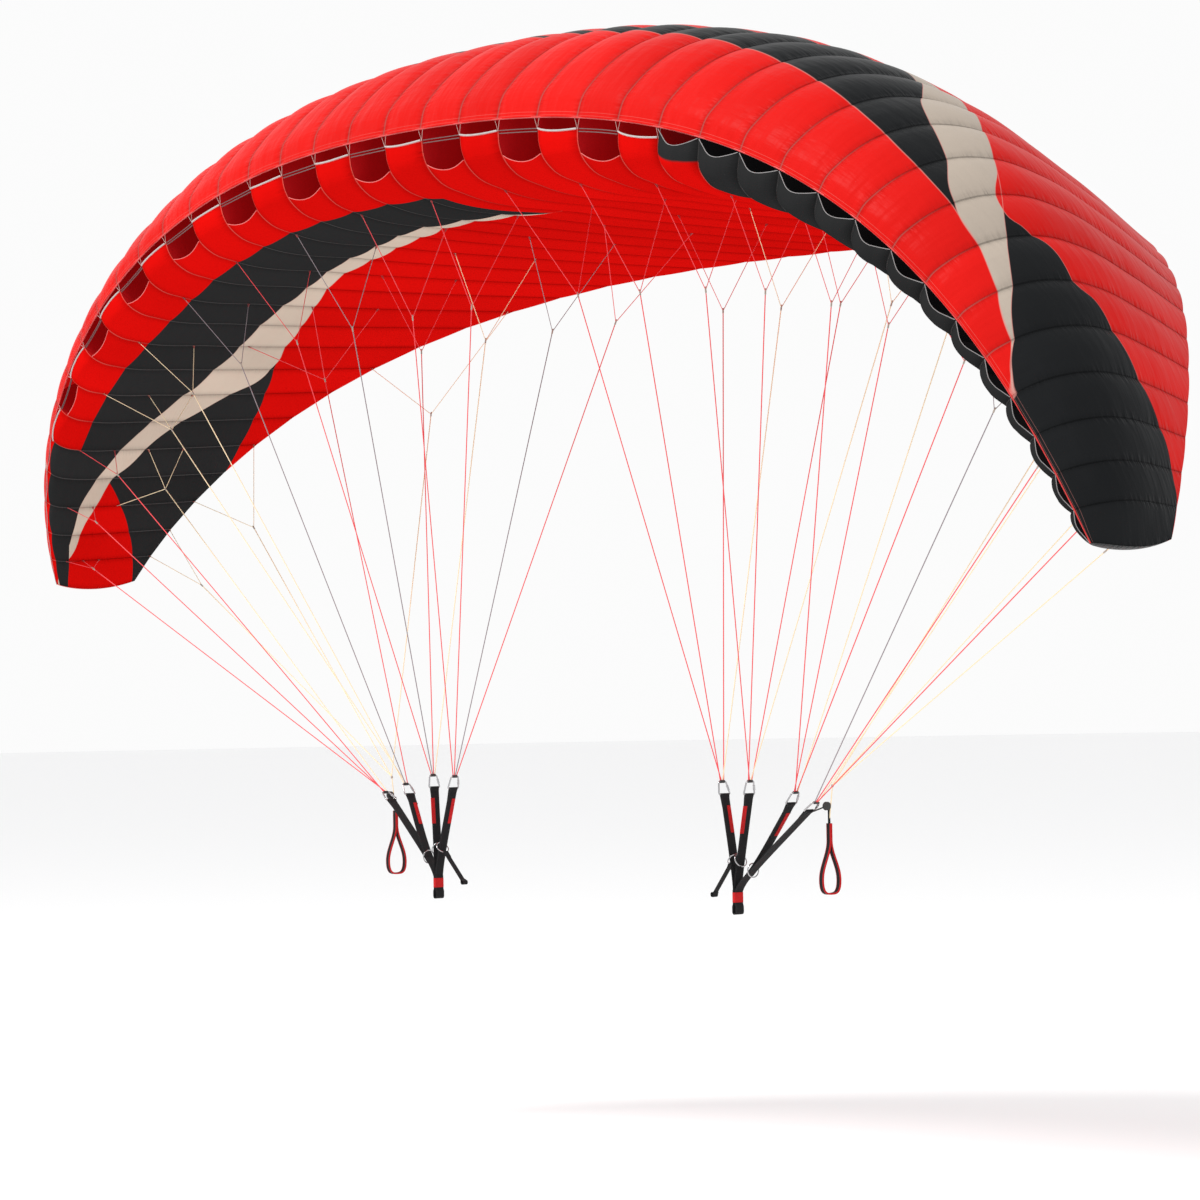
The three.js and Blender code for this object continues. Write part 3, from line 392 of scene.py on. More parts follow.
# %% Lower cloth
LOWER_ROWS, FLAP_ROWS = 60, 12
PLAIN_CELLS = range(-15, 6)
FLAP_FILL = {"scooped": 0.19, "closed": 0.10, "open": 0.06, "back": 0.036}
LEFT_SCOOP_SHARE, SCOOP_EDGE, SCOOP_EDGE_FILL = 0.4, 0.035, 0.08
CLOSED_DROP, OPEN_DROP, SCOOP_DROP, NOSE_SAMPLES = 0.0175, 0.052, 0.0018, 300
CLOSED_SAG, OPEN_SAG, OPEN_SAG_LIMIT, SCOOP_SAG, SCOOP_SAG_LIMIT = 0.0035, 0.11, 0.011, 0.19, 0.020


def nose_reach(drop):
    """The length along the nose where it has dropped this many chords under the lip."""
    heights = lower_curve["points"][:NOSE_SAMPLES, 1]
    return float(lower_curve["lengths"][np.argmin(np.abs(heights + drop))])


join_reach = reach_at(lower_curve, 0.040)
end_reach = lower_curve["lengths"][-1]
closed_reach = nose_reach(CLOSED_DROP)
open_reach = nose_reach(OPEN_DROP)
scoop_reach = nose_reach(SCOOP_DROP)


def mouth_kind(cell):
    """cell counts from -20 at the left tip to 19 at the right tip."""
    if cell not in PLAIN_CELLS:
        return "scooped"
    return "closed" if cell % 2 else "open"


def hem_reach(cell, cells):
    """Where the hem of a cell runs, at places across the cell."""
    kind = mouth_kind(cell)
    width = float(CELL_METRES[cell if cell >= 0 else -cell - 1])
    chord = float(chord_of(share_of(cell + 0.5)))
    within = np.clip(cells - cell, 0, 1)
    sag = 4 * within * (1 - within)
    if kind == "closed":
        return closed_reach + CLOSED_SAG * sag
    if kind == "open":
        return open_reach + sag * min(OPEN_SAG * width / chord, OPEN_SAG_LIMIT)
    return scoop_reach + sag**1.35 * min(SCOOP_SAG * width / chord, SCOOP_SAG_LIMIT)


def lower_bulge(cells, reach, kind):
    within = cells - np.floor(cells)
    v = on_curve(lower_curve, reach)[0]
    nose = 1 - ease(join_reach * 0.55, join_reach, reach)
    fill, back_fill = FLAP_FILL[kind], FLAP_FILL["back"]
    if kind == "scooped":
        fill = np.where(cells < PLAIN_CELLS.start, LEFT_SCOOP_SHARE * fill, fill)
    share = back_fill + (fill - back_fill) * nose
    roundness = ROUNDNESS
    if kind == "scooped":
        past_hem = ease(0, SCOOP_EDGE, reach)
        edge_share = SCOOP_EDGE_FILL + (share - SCOOP_EDGE_FILL) * past_hem
        share = np.where(reach < SCOOP_EDGE, edge_share, share)
        roundness = 0.42 + 0.40 * past_hem
    rear_fall = 1 - 0.6 * ease(0.75, 1, v)
    return share * width_at(cells) * rear_fall * pillow(within, roundness) * fill_change(cells + 0.37, v)


def lower_strip(name, first, last, rows, edges, kind, crowding=1.0):
    """A strip of lower cloth over some cells, between the two reaches that edges gives."""
    columns = (last - first) * CELL_COLUMNS
    grid, across, backward = grid_of(name, columns, rows)
    cells = first + np.round(across * columns) / CELL_COLUMNS
    inside = np.clip(cells, first + 1e-6, last - 1e-6) if last - first == 1 else cells
    start, end = edges(cells)
    reach = start + (end - start) * backward**crowding
    bulge = lower_bulge(inside, reach, kind)
    points, v, u = cloth_point(cells, reach, bulge, lower_curve, -1)
    place_cloth(grid, points, cells, v, u, reach)
    return grid


strips = [
    lower_strip("lower_cloth", -CELLS, CELLS, LOWER_ROWS, lambda _: (join_reach, end_reach), "back", 1.1)
]
for cell in range(-CELLS, CELLS):

    def flap_edges(cells, cell=cell):
        return hem_reach(cell, cells), join_reach

    strips.append(lower_strip(f"flap_{cell}", cell, cell + 1, FLAP_ROWS, flap_edges, mouth_kind(cell)))
lower = join_up("lower_cloth", strips)
on_whole_mesh(lower, bpy.ops.mesh.remove_doubles, threshold=0.0001)
face_out(lower, (0, 2, 4))
thicken(lower, CLOTH, inner=1)
smooth(lower)
print("lower cloth", len(lower.data.polygons), "faces")

# %% [markdown]
# ## Paint in words of arithmetic
# The colour fields of the wing are curved bands, and shader maths finds their edges. One small class
# wraps a socket, and an ordinary Python expression on it adds the Math nodes. Every other kind of node
# comes from one method that takes its type, its settings and the values of its sockets.


# %% Paint box
class Wire:
    """A socket of a material, with arithmetic that adds nodes."""

    def __init__(self, paint, socket):
        self.paint, self.socket = paint, socket

    def maths(self, operation, *values, clamp=False):
        settings = {"operation": operation, "use_clamp": clamp}
        return self.paint.node("ShaderNodeMath", settings, dict(enumerate(values)))

    def __add__(self, other):
        return self.maths("ADD", self, other)

    def __sub__(self, other):
        return self.maths("SUBTRACT", self, other)

    def __rsub__(self, other):
        return self.maths("SUBTRACT", other, self)

    def __mul__(self, other):
        return self.maths("MULTIPLY", self, other)

    def __truediv__(self, other):
        return self.maths("DIVIDE", self, other)

    def __pow__(self, other):
        return self.maths("POWER", self, other)

    def __abs__(self):
        return self.maths("ABSOLUTE", self)

    __radd__, __rmul__ = __add__, __mul__

    def at_most(self, other):
        return self.maths("MINIMUM", self, other)

    def at_least(self, other):
        return self.maths("MAXIMUM", self, other)

    def whole(self):
        return self.maths("FLOOR", self)

    def part(self):
        return self.maths("FRACT", self)

    def wave(self):
        return self.maths("SINE", self)

    def clamp(self):
        return self.maths("ADD", self, 0, clamp=True)

    def above(self, edge, blur):
        """0 under the edge and 1 over it, turning over a width of blur."""
        return ((self - edge) / blur + 0.5).clamp()

    def near(self, place, half, blur):
        """1 within half a width of a place and 0 away from it."""
        return 1 - abs(self - place).above(half, blur)


class Paint:
    """A material and its principled shader."""

    def __init__(self, title, **fixed):
        self.material = bpy.data.materials.new(title)
        self.material.use_nodes = True
        self.tree = self.material.node_tree
        self.shader = self.tree.nodes["Principled BSDF"]
        for socket, value in fixed.items():
            self.shader.inputs[socket.replace("_", " ")].default_value = value

    def node(self, kind, settings=None, values=None, output=0):
        made = self.tree.nodes.new(kind)
        for name, value in (settings or {}).items():
            setattr(made, name, value)
        for socket, value in (values or {}).items():
            self.join(made.inputs[socket], value)
        return Wire(self, made.outputs[output])

    def join(self, socket, value):
        if isinstance(value, Wire):
            self.tree.links.new(value.socket, socket)
        elif isinstance(value, tuple) and socket.type == "RGBA" and len(value) == 3:
            socket.default_value = (*value, 1)
        else:
            socket.default_value = value

    def place(self):
        return self.node("ShaderNodeTexCoord", output="Object")

    def uv(self, layer):
        return self.node("ShaderNodeUVMap", {"uv_map": layer})

    def split(self, vector):
        parts = self.node("ShaderNodeSeparateXYZ", values={0: vector})
        outputs = parts.socket.node.outputs
        return [Wire(self, outputs[i]) for i in range(3)]

    def vector(self, x, y):
        return self.node("ShaderNodeCombineXYZ", values={0: x, 1: y})

    def noise(self, vector, scale, detail=3.0, rough=0.5):
        values = {"Vector": vector, "Scale": scale, "Detail": detail, "Roughness": rough}
        return self.node("ShaderNodeTexNoise", values=values)

    def mix(self, share, first, second):
        values = {"Factor": share, 6: first, 7: second}
        return self.node("ShaderNodeMix", {"data_type": "RGBA"}, values, 2)

    def shade(self, share, colour, factor):
        """The colour, brightened or darkened by a number round 1, where share is 1."""
        scaled = self.node("ShaderNodeVectorMath", {"operation": "SCALE"}, {0: colour, "Scale": factor})
        return self.mix(share, colour, scaled)

    def curve(self, x, points):
        """A number that follows a list of points (x from 0 to 1)."""
        made = self.node("ShaderNodeFloatCurve", values={"Value": x})
        curve = made.socket.node.mapping.curves[0]
        while len(curve.points) > 2:
            curve.points.remove(curve.points[1])
        for index in (0, -1):
            curve.points[index].location = points[index]
        for point in points[1:-1]:
            curve.points.new(*point)
        for point in curve.points:
            point.handle_type = "AUTO_CLAMPED"
        made.socket.node.mapping.update()
        return made

    def bump(self, height, distance, strength=1.0):
        values = {"Height": height, "Distance": distance, "Strength": strength}
        return self.node("ShaderNodeBump", values=values)

    def finish(self, colour, roughness, normal):
        for socket, value in (("Base Color", colour), ("Roughness", roughness), ("Normal", normal)):
            self.join(self.shader.inputs[socket], value)
        return self.material


# %% [markdown]
# ## Sail cloth
# Paraglider cloth is thin coated nylon. Each cell panel has a slightly different shade, the seams at
# the ribs are puckered, and the tension runs in fine creases back from the nose. The cloth's gloss is
# left almost out, so that the pale sky doesn't grey the dark panels. The colour fields are red, black
# and cream: their edges are given as chord shares for places across the wing, and a Float Curve node
# turns each list into a smooth edge.

# %% Colours of the cloth
# The black and the cream of the underside are brighter copies of the top ones: painted light, making up for
# the weaker light under the wing.
RED, LOWER_RED, DEEP_RED = (0.60, 0.010, 0.008), (0.60, 0.004, 0.003), (0.34, 0.005, 0.007)
# The pale colour is that of the stitching, and also of the painted highlight along the seams near the nose.
BLACK, LOWER_BLACK_PAINTED_LIGHTER, PALE_THREAD_AND_HIGHLIGHT = (0.0125, 0.0133, 0.0142), (0.021, 0.0215, 0.022), (0.62, 0.25, 0.22)
CREAM, LOWER_CREAM_PAINTED_LIGHTER = (0.43, 0.365, 0.305), (0.56, 0.47, 0.385)

# Where each colour starts or ends, as (cells from the middle, chord share).
BLACK_FRONT = [(0, 0.16), (3.25, 0.143), (5.35, 0.14), (7.35, 0.133), (9.6, 0.115), (10.9, 0.107)]
BLACK_FRONT += [(12.15, 0.106), (13.4, 0.095), (14.15, 0.072), (14.6, 0.06), (15.15, 0.04)]
BLACK_FRONT += [(15.65, 0.015), (16.2, 0), (20, 0)]
CREAM_RISE = [(0, 0.165), (3.25, 0.20), (4.45, 0.25), (6.4, 0.335)]
CREAM_FRONT = CREAM_RISE + [(7.25, 0.375), (9.7, 0.235), (11, 0.177), (12.15, 0.11), (13.4, 0.095)]
CREAM_FRONT += [(14.15, 0.072), (15.15, 0.04), (16.2, 0), (20, 0)]
CREAM_CREST = CREAM_RISE + [(7.25, 0.378), (8, 0.44), (9.1, 0.413), (10.2, 0.355), (11.4, 0.285)]
CREAM_BACK = CREAM_CREST + [(12.55, 0.21), (13.15, 0.17), (13.55, 0.147), (14.65, 0.075)]
CREAM_BACK += [(15.55, 0.022), (16.2, 0), (20, 0)]
RED_BACK = CREAM_CREST + [(12.5, 0.215), (12.85, 0.245), (13.4, 0.31), (14.1, 0.345), (14.45, 0.408)]
RED_BACK += [(15.35, 0.5), (16.4, 0.638), (17.35, 0.785), (18.25, 0.9), (19.3, 1), (20, 1)]
UNDER_BLACK_FRONT = [(0, 0.10), (0.55, 0.092), (1.5, 0.085), (2.65, 0.083), (3.75, 0.085)]
UNDER_BLACK_FRONT += [(5, 0.088), (6.45, 0.10), (7.65, 0.107), (8.85, 0.12), (10.05, 0.128)]
UNDER_BLACK_FRONT += [(11.1, 0.128), (12.15, 0.118), (13, 0.115), (14, 0.11), (15.3, 0.105)]
UNDER_BLACK_FRONT += [(16.55, 0.11), (17.75, 0.092), (19.2, 0.043), (20, 0.02)]
UNDER_CREAM_FRONT = [(0, 0.285), (0.2, 0.275), (1.1, 0.235), (2.2, 0.23), (3.1, 0.225), (3.85, 0.24)]
UNDER_CREAM_FRONT += [(5.35, 0.275), (6.55, 0.297), (7.1, 0.312), (8.35, 0.348), (9.4, 0.37)]
UNDER_CREAM_FRONT += [(10.35, 0.393), (11.55, 0.42), (12.55, 0.42), (13.2, 0.395), (14.05, 0.357)]
UNDER_CREAM_FRONT += [(14.5, 0.328), (15.35, 0.278), (16.1, 0.23), (16.9, 0.18), (18.05, 0.145)]
UNDER_CREAM_FRONT += [(19.35, 0.043), (20, 0.01)]
UNDER_CREAM_BACK = [(0, 0.285), (0.2, 0.275), (0.95, 0.263), (2.55, 0.255), (3.55, 0.28)]
UNDER_CREAM_BACK += [(4.3, 0.295), (5.55, 0.325), (6.4, 0.34), (7, 0.35), (7.7, 0.375), (9, 0.445)]
UNDER_CREAM_BACK += [(10.2, 0.515), (11, 0.557), (11.7, 0.603), (12.35, 0.625), (12.85, 0.598)]
UNDER_CREAM_BACK += [(13.3, 0.557), (13.8, 0.515), (14.3, 0.465), (14.7, 0.435), (15.1, 0.417)]
UNDER_CREAM_BACK += [(15.5, 0.39), (16.15, 0.32), (16.95, 0.29), (17.6, 0.235), (18.45, 0.185)]
UNDER_CREAM_BACK += [(19.35, 0.062), (20, 0.02)]
UPPER_EDGES = (BLACK_FRONT, CREAM_FRONT, CREAM_BACK, RED_BACK)
UNDER_EDGES = (UNDER_BLACK_FRONT, UNDER_CREAM_FRONT, UNDER_CREAM_BACK)
PANEL_CURVE, EDGE_BLUR, RIPSTOP_A_METRE = 0.007, 0.0016, 125
BLACK_TIP, LEFT_BAND, LEFT_BAND_END = 16.2, 0.085, -16
# Slanting edges under the wing, as (cells from the middle, chord share, rise a cell).
MIDDLE_SLANT, REAR_INNER, REAR_OUTER = (0.55, 0.092, 0.523), (11.7, 0.603, 0.0934), (16.15, 0.32, 0.167)
# How far back the black nose goes at the left tip, the right side, and the cell between.
LEFT_NOSE, RIGHT_NOSE, STEP_NOSE, LEFT_NOSE_LIP = 0.125, 0.058, 0.012, 0.045


def slant_at(level, edge):
    """The cell where a slanting edge reaches a chord share."""
    cell, share, rise = edge
    return cell + (level - share) / rise


def edge_curve(paint, far, edge):
    return paint.curve(far / CELLS, [(a / CELLS, v) for a, v in edge])


def cloth_relief(paint, cells, v, metres_vector):
    """Creases and seam puckers: the cloth's height in metres, and the cells to the nearest rib."""
    u_metres, v_metres, _ = paint.split(metres_vector)
    from_rib = abs((cells + 0.5).part() - 0.5)
    along_span = paint.vector(u_metres * 9, v_metres * 2.6)
    streaks = paint.noise(along_span, 1.0, 2, 0.45)
    cross = paint.noise(paint.vector(u_metres * 3, v_metres * 13), 1.0, 3, 0.5)
    pucker = paint.noise(paint.vector(u_metres * 5, v_metres * 26), 1.0, 2, 0.5)
    broad = paint.noise(paint.vector(u_metres * 2.0, v_metres * 1.1), 1.0, 2, 0.5)
    nose = (1 - v / 0.16).clamp()
    seam_zone = (1 - from_rib / 0.24).clamp()
    height = (streaks - 0.5) * (0.002 + 0.016 * nose) + (broad - 0.5) * 0.024
    height = height + (cross - 0.5) * 0.008 + (pucker - 0.5) * (0.026 * seam_zone ** 1.4)
    return height, from_rib


def weave(paint, metres_vector):
    """1 on the threads of the ripstop squares and 0 between them."""
    u_metres, v_metres, _ = paint.split(metres_vector)
    threads = [(way * RIPSTOP_A_METRE).part().near(0.5, 0.08, 0.1) for way in (u_metres, v_metres)]
    return threads[0].at_least(threads[1])


def panel_shade(paint, cells):
    """A number from 0 to 1 that differs from cell to cell."""
    return paint.node("ShaderNodeTexWhiteNoise", {"noise_dimensions": "1D"}, {"W": cells.whole()})


# %% Upper cloth finish
def upper_finish():
    paint = Paint("upper nylon", Specular_IOR_Level=0.02)
    cells, v, _ = paint.split(paint.uv("cells"))
    metres = paint.uv("metres")
    far = abs(cells)
    blur = EDGE_BLUR
    wobble = (paint.noise(metres, 1.6, 2) - 0.5) * 0.004
    height, from_rib = cloth_relief(paint, cells, v, metres)
    level = v + wobble + (1 - (1 - from_rib * 2) ** 2) * PANEL_CURVE
    first, second, third, fourth = [level - edge_curve(paint, far, edge) for edge in UPPER_EDGES]
    in_black = first.above(0, blur)
    in_cream = second.above(0, blur) * (1 - third.above(0, blur))
    in_back = fourth.above(0, blur)
    right_tip = cells.above(BLACK_TIP, 0.05)
    left_band = (1 - level.above(LEFT_BAND, blur)) * (1 - cells.above(LEFT_BAND_END, 0.05))
    in_black = in_black * (1 - left_band)
    panel = panel_shade(paint, cells)
    slow = paint.noise(metres, 0.9, 4)
    colour = paint.mix(in_black, RED, BLACK)
    colour = paint.mix(in_cream, colour, CREAM)
    colour = paint.mix(in_back, colour, RED)
    edges = abs(first).at_most(abs(second)).at_most(abs(third)).at_most(abs(fourth))
    colour = paint.mix((1 - edges.above(0.0012, 0.0012)) * 0.55 * (1 - right_tip), colour, PALE_THREAD_AND_HIGHLIGHT)
    _, from_lip, _ = paint.split(metres)
    lip_line = from_lip.near(0.012, 0.0010, 0.0008) + from_lip.near(0.034, 0.0010, 0.0008)
    colour = paint.mix(lip_line * 0.35, colour, PALE_THREAD_AND_HIGHLIGHT)
    seam = 1 - from_rib.above(0.016, 0.014)
    # Painted shade: the cloth is darkened towards each seam, where the valleys between the pillows fall into
    # shade.
    painted_seam_shade = (1 - from_rib / 0.16).clamp() ** 2
    colour = paint.shade(painted_seam_shade, colour, 0.76)
    # Painted highlight: a pale line along each seam near the nose, fading towards the rear.
    painted_seam_highlight = seam * (1 - (v / 0.10).clamp()) * (1 - in_black)
    colour = paint.shade(seam, colour, 0.70)
    colour = paint.mix(painted_seam_highlight * 0.22, colour, PALE_THREAD_AND_HIGHLIGHT)
    colour = paint.shade(1.0, colour, 0.90 + 0.10 * panel + (slow - 0.5) * 0.22 - weave(paint, metres) * 0.04)
    rough = 0.36 + (slow - 0.5) * 0.12 + seam * 0.12
    normal = paint.bump(height - seam * 0.003, 1.0, 0.9)
    return paint.finish(colour, rough, normal)


# %% Lower cloth finish
def lower_finish():
    paint = Paint("lower nylon", Specular_IOR_Level=0.0)
    cells, v, _ = paint.split(paint.uv("cells"))
    metres = paint.uv("metres")
    far = abs(cells)
    blur = EDGE_BLUR
    right = cells.above(0, 0.01)
    wobble = (paint.noise(metres, 1.6, 2) - 0.5) * 0.004
    level = v + wobble
    one, two, three = [edge_curve(paint, far, edge) for edge in UNDER_EDGES]
    shrink = ((12.5 - far) / 3).clamp() * right
    one = one + (two - one) * shrink
    three = three + (two - three) * shrink
    cell, share, rise = MIDDLE_SLANT
    oblique = (level - share) - (cell - far) * rise
    behind = (level - one).above(0, blur) * oblique.above(0, blur)
    past_front, past = (level - two).above(0, blur), (level - three).above(0, blur)
    still_open = 1 - shrink.above(0.99, 0.01)
    in_cream = past_front * (1 - past) * still_open
    past_inner = (far - slant_at(level, REAR_INNER)).above(0, 0.02)
    in_rear = past_inner * (slant_at(level, REAR_OUTER) - far).above(0, 0.02)
    black_band = behind * (1 - past_front) * still_open
    colour = paint.mix(black_band, LOWER_RED, LOWER_BLACK_PAINTED_LIGHTER)
    colour = paint.mix(in_cream, colour, LOWER_CREAM_PAINTED_LIGHTER)
    colour = paint.mix(past * in_rear, colour, LOWER_BLACK_PAINTED_LIGHTER)
    _, from_lip, _ = paint.split(metres)
    first, last = PLAIN_CELLS.start, PLAIN_CELLS.stop
    left_tip = (1 - cells.above(first, 0.02)) * from_lip.above(LEFT_NOSE_LIP, 0.004)
    nose_black = left_tip * (1 - level.above(LEFT_NOSE, blur))
    nose_black = nose_black + cells.above(last + 1, 0.02) * (1 - level.above(RIGHT_NOSE, blur))
    nose_black = nose_black + cells.near(last + 0.5, 0.5, 0.02) * (1 - level.above(STEP_NOSE, blur))
    colour = paint.mix(nose_black.clamp(), colour, LOWER_BLACK_PAINTED_LIGHTER)
    height, from_rib = cloth_relief(paint, cells, v, metres)
    panel = panel_shade(paint, cells)
    slow = paint.noise(metres, 0.9, 4)
    seam = 1 - from_rib.above(0.014, 0.012)
    dark = (black_band + nose_black + past * in_rear).clamp()
    # Painted shade: the underside is darkened towards each seam, in the valleys between the pillows.
    painted_seam_shade = (1 - from_rib / 0.22).clamp() ** 2
    colour = paint.shade(painted_seam_shade, colour, 0.72)
    colour = paint.mix(seam * dark * 0.6, colour, (0.09, 0.085, 0.085))
    # Painted highlight: a pale pink line along each seam on the red cloth near the nose, fading towards the
    # rear.
    painted_seam_highlight = seam * (1 - dark) * (1 - (v / 0.22).clamp())
    colour = paint.mix(painted_seam_highlight * 0.5, colour, (0.90, 0.16, 0.13))
    colour = paint.shade(seam * (1 - dark) * (1 - painted_seam_highlight), colour, 0.70)
    colour = paint.shade(1.0, colour, 0.88 + 0.12 * panel + (slow - 0.5) * 0.22 - weave(paint, metres) * 0.04)
    rough = 0.42 + (slow - 0.5) * 0.12 + seam * 0.1
    normal = paint.bump(height - seam * 0.002, 1.0, 0.8)
    return paint.finish(colour, rough, normal)


def dress(thing, material, *nodes, slot, inside=None):
    if inside:
        thing.material_slots[0].material = material
        thing.material_slots[1].material = inside
    else:
        thing.data.materials.clear()
        thing.data.materials.append(material)
    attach(thing, "root")
    if nodes:
        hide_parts(*nodes)


# %% [markdown]
# The inside of the cells is never black: daylight comes through the thin cloth and fills them with a
# red glow. Instead of tracing that light through two faces, the inner faces and the ribs give off a
# little of their own colour.


# %% Inside of the cells
def inner_finish(title, colour, glow):
    paint = Paint(title, Specular_IOR_Level=0.05, Emission_Strength=glow)
    metres = paint.uv("metres")
    cells, v, _ = paint.split(paint.uv("cells"))
    slow = paint.noise(metres, 3, 3)
    cloudy = paint.noise(metres, 22, 2)
    past_left = cells.above(PLAIN_CELLS.start - 0.01, 0.01)
    at_sides = cells.above(PLAIN_CELLS.stop + 0.01, 0.01).at_least(1 - past_left)
    tone = paint.mix(at_sides * (1 - v.above(0.30, 0.1)), colour, (0.012, 0.012, 0.013))
    shade = paint.shade(1.0, tone, 0.75 + slow * 0.45 - weave(paint, metres) * 0.06)
    paint.join(paint.shader.inputs["Emission Color"], shade)
    relief = (slow - 0.5) * 0.02 + (cloudy - 0.5) * 0.002
    return paint.finish(shade, 0.55 + (slow - 0.5) * 0.15, paint.bump(relief, 1.0))


inner_red = inner_finish("inner nylon", (0.66, 0.008, 0.008), 0.42)
dress(upper, upper_finish(), "upper_sail", slot="sail_cloth", inside=inner_red)
NOSE_NODES = [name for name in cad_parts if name.startswith("nose_")]
dress(lower, lower_finish(), "lower_sail", *NOSE_NODES, slot="sail_cloth", inside=inner_red)
for cloth in (upper, lower):
    print(cloth.name, "wears", [slot.material.name for slot in cloth.material_slots])

# %% [markdown]
# ## Ribs
# A rib is a flat cut of cloth with the outline of the wing's profile, standing between the upper and
# the lower cloth. Seen through the mouths it is what gives the cells their depth. A rib could be cut
# as a flat outline and filled. A small grid drawn between the two profile curves is used instead,
# because it takes the same UV maps as the cloth. The round holes of real ribs are left out.

# %% Ribs
RIB_INSET, RIB_NOSE, RIB_REAR = 0.0035, 0.006, 0.97


def rib_sheet(rib):
    grid, backward, upward = grid_of(f"rib_{rib}", 44, 4)
    share = backward**1.6
    upper_reach = upper_curve["lengths"][-1] * share * RIB_REAR
    lower_reach = RIB_NOSE + (end_reach * RIB_REAR - RIB_NOSE) * share
    spots, inset = np.full_like(share, rib), np.full_like(share, -RIB_INSET)
    high, v_high, u = cloth_point(spots, upper_reach, inset, upper_curve, 1)
    low, v_low, u = cloth_point(spots, lower_reach, inset, lower_curve, -1)
    place_cloth(grid, low + along(high - low, upward), spots, v_low + (v_high - v_low) * upward, u)
    return grid


rib_cloth = inner_finish("rib nylon", DEEP_RED, 0.22)
for hand, ribs in (("left", range(1 - CELLS, 0)), ("right", range(0, CELLS))):
    plates = join_up(f"cell_ribs_{hand}", [rib_sheet(rib) for rib in ribs])
    face_out(plates, (0, 2, -4))
    thicken(plates, 0.0012)
    smooth(plates)
    nodes = [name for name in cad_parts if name.startswith(f"ribs_{hand}")]
    dress(plates, rib_cloth, *nodes, slot="rib_cloth")
    print(plates.name, len(plates.data.polygons), "faces")

# %% [markdown]
# ## Lip, rods and strings
# The leading edge is stiffened: a round cord is sewn into the lip, closed mouths carry a grey plastic
# rod along the top of their flap, and open mouths have two dark battens. Each rib of the plain cells
# has two fine strings that tie the lip back to the hem. All are thin tubes along curves on the wing.


# %% Lip cord
def tube_mesh(name, paths, radius, sides=6, ring=False):
    """Round tubes along paths, made as one bevelled curve and then turned into a mesh."""
    data = bpy.data.curves.new(name, "CURVE")
    data.dimensions = "3D"
    data.bevel_depth = radius
    data.bevel_resolution = max(0, sides // 2 - 2)
    data.use_fill_caps = not ring
    for path in paths:
        spline = data.splines.new("POLY")
        spline.points.add(len(path) - 1)
        spline.points.foreach_set("co", [c for p in path for c in (*p, 1)])
        spline.use_cyclic_u = ring
    thing = bpy.data.objects.new(name, data)
    bpy.context.scene.collection.objects.link(thing)
    pick(thing)
    bpy.ops.object.convert(target="MESH")
    thing = bpy.context.object
    on_whole_mesh(thing, bpy.ops.mesh.normals_make_consistent, inside=False)
    smooth(thing, 50)
    return thing


def nose_path(first, last, curve, reach, count, surface, kind=None, lift=0.0):
    """A path across one or more cells. With a kind it follows the swell of that kind of flap."""
    cells = np.linspace(first, last, count)
    reaches = reach(cells) if callable(reach) else np.full(count, reach)
    bulge = lower_bulge(cells, reaches, kind) + lift if kind else lift * pillow(cells - np.floor(cells))
    return cloth_point(cells, reaches, bulge, curve, surface)[0]


LIP_RADIUS, LIP_POINTS = 0.006, 2 * CELLS * CELL_COLUMNS + 1
lip = tube_mesh("lip_cord", [nose_path(-CELLS, CELLS, upper_curve, 0.0, LIP_POINTS, 1)], LIP_RADIUS, 8)


def cord_finish(title, colour, rough=0.6, pitch=260):
    """A braided sheath. Its strands are two crossing sine waves of pitch radians a metre."""
    paint = Paint(title, Sheen_Weight=0.2, Sheen_Roughness=0.5)
    x, y, z = paint.split(paint.place())
    strand = ((x + y * 0.7 + z) * pitch).wave() * ((x - y * 0.7 - z) * pitch).wave()
    slow = paint.noise(paint.place(), 1.5, 2)
    shade = paint.shade(1.0, colour, 0.92 + strand * 0.05 + (slow - 0.5) * 0.25)
    return paint.finish(shade, rough + strand * 0.08, paint.bump(strand, 0.0002))


dress(lip, cord_finish("lip piping", RED, 0.4), slot="sail_cloth")
print("lip cord", len(lip.data.polygons), "faces")

# %% Rods and strings of the mouths
ROD, BATTEN, HEM, STRING = 0.0060, 0.0034, 0.0026, 0.0016
ROD_ABOVE_HEM, ROD_LIFT, BATTEN_LIFT, STRING_STEP, STRING_LIFT = 0.0016, 0.002, -0.012, 0.06, 0.004
rod_paths, batten_paths, string_paths, red_hems, pale_hems = [], [], [], [], []
for cell in range(-CELLS, CELLS):
    kind = mouth_kind(cell)
    inside = (cell + 0.02, cell + 0.98)

    def hem_of(cells, cell=cell):
        return hem_reach(cell, cells)

    def rod_of(cells, cell=cell):
        return hem_reach(cell, cells) - ROD_ABOVE_HEM

    hems = pale_hems if kind == "scooped" else red_hems
    hems.append(nose_path(*inside, lower_curve, hem_of, 25, -1, kind))
    if kind == "closed":
        rod_paths.append(nose_path(*inside, lower_curve, rod_of, 21, -1, kind, ROD_LIFT))
    if kind == "open":
        for reach in (closed_reach - 0.001, closed_reach + 0.0035):
            batten_paths.append(nose_path(*inside, lower_curve, reach, 21, -1, lift=BATTEN_LIFT))
for rib in range(PLAIN_CELLS.start, PLAIN_CELLS.stop + 1):
    low_end = cloth_point(rib, closed_reach, STRING_LIFT, lower_curve, -1)[0]
    for side_step in (-STRING_STEP, STRING_STEP):
        string_paths.append([cloth_point(rib + side_step, 0.0, 0.0, upper_curve, 1)[0], low_end])
print(len(rod_paths), "rods,", len(red_hems) + len(pale_hems), "hems,", len(string_paths), "strings")

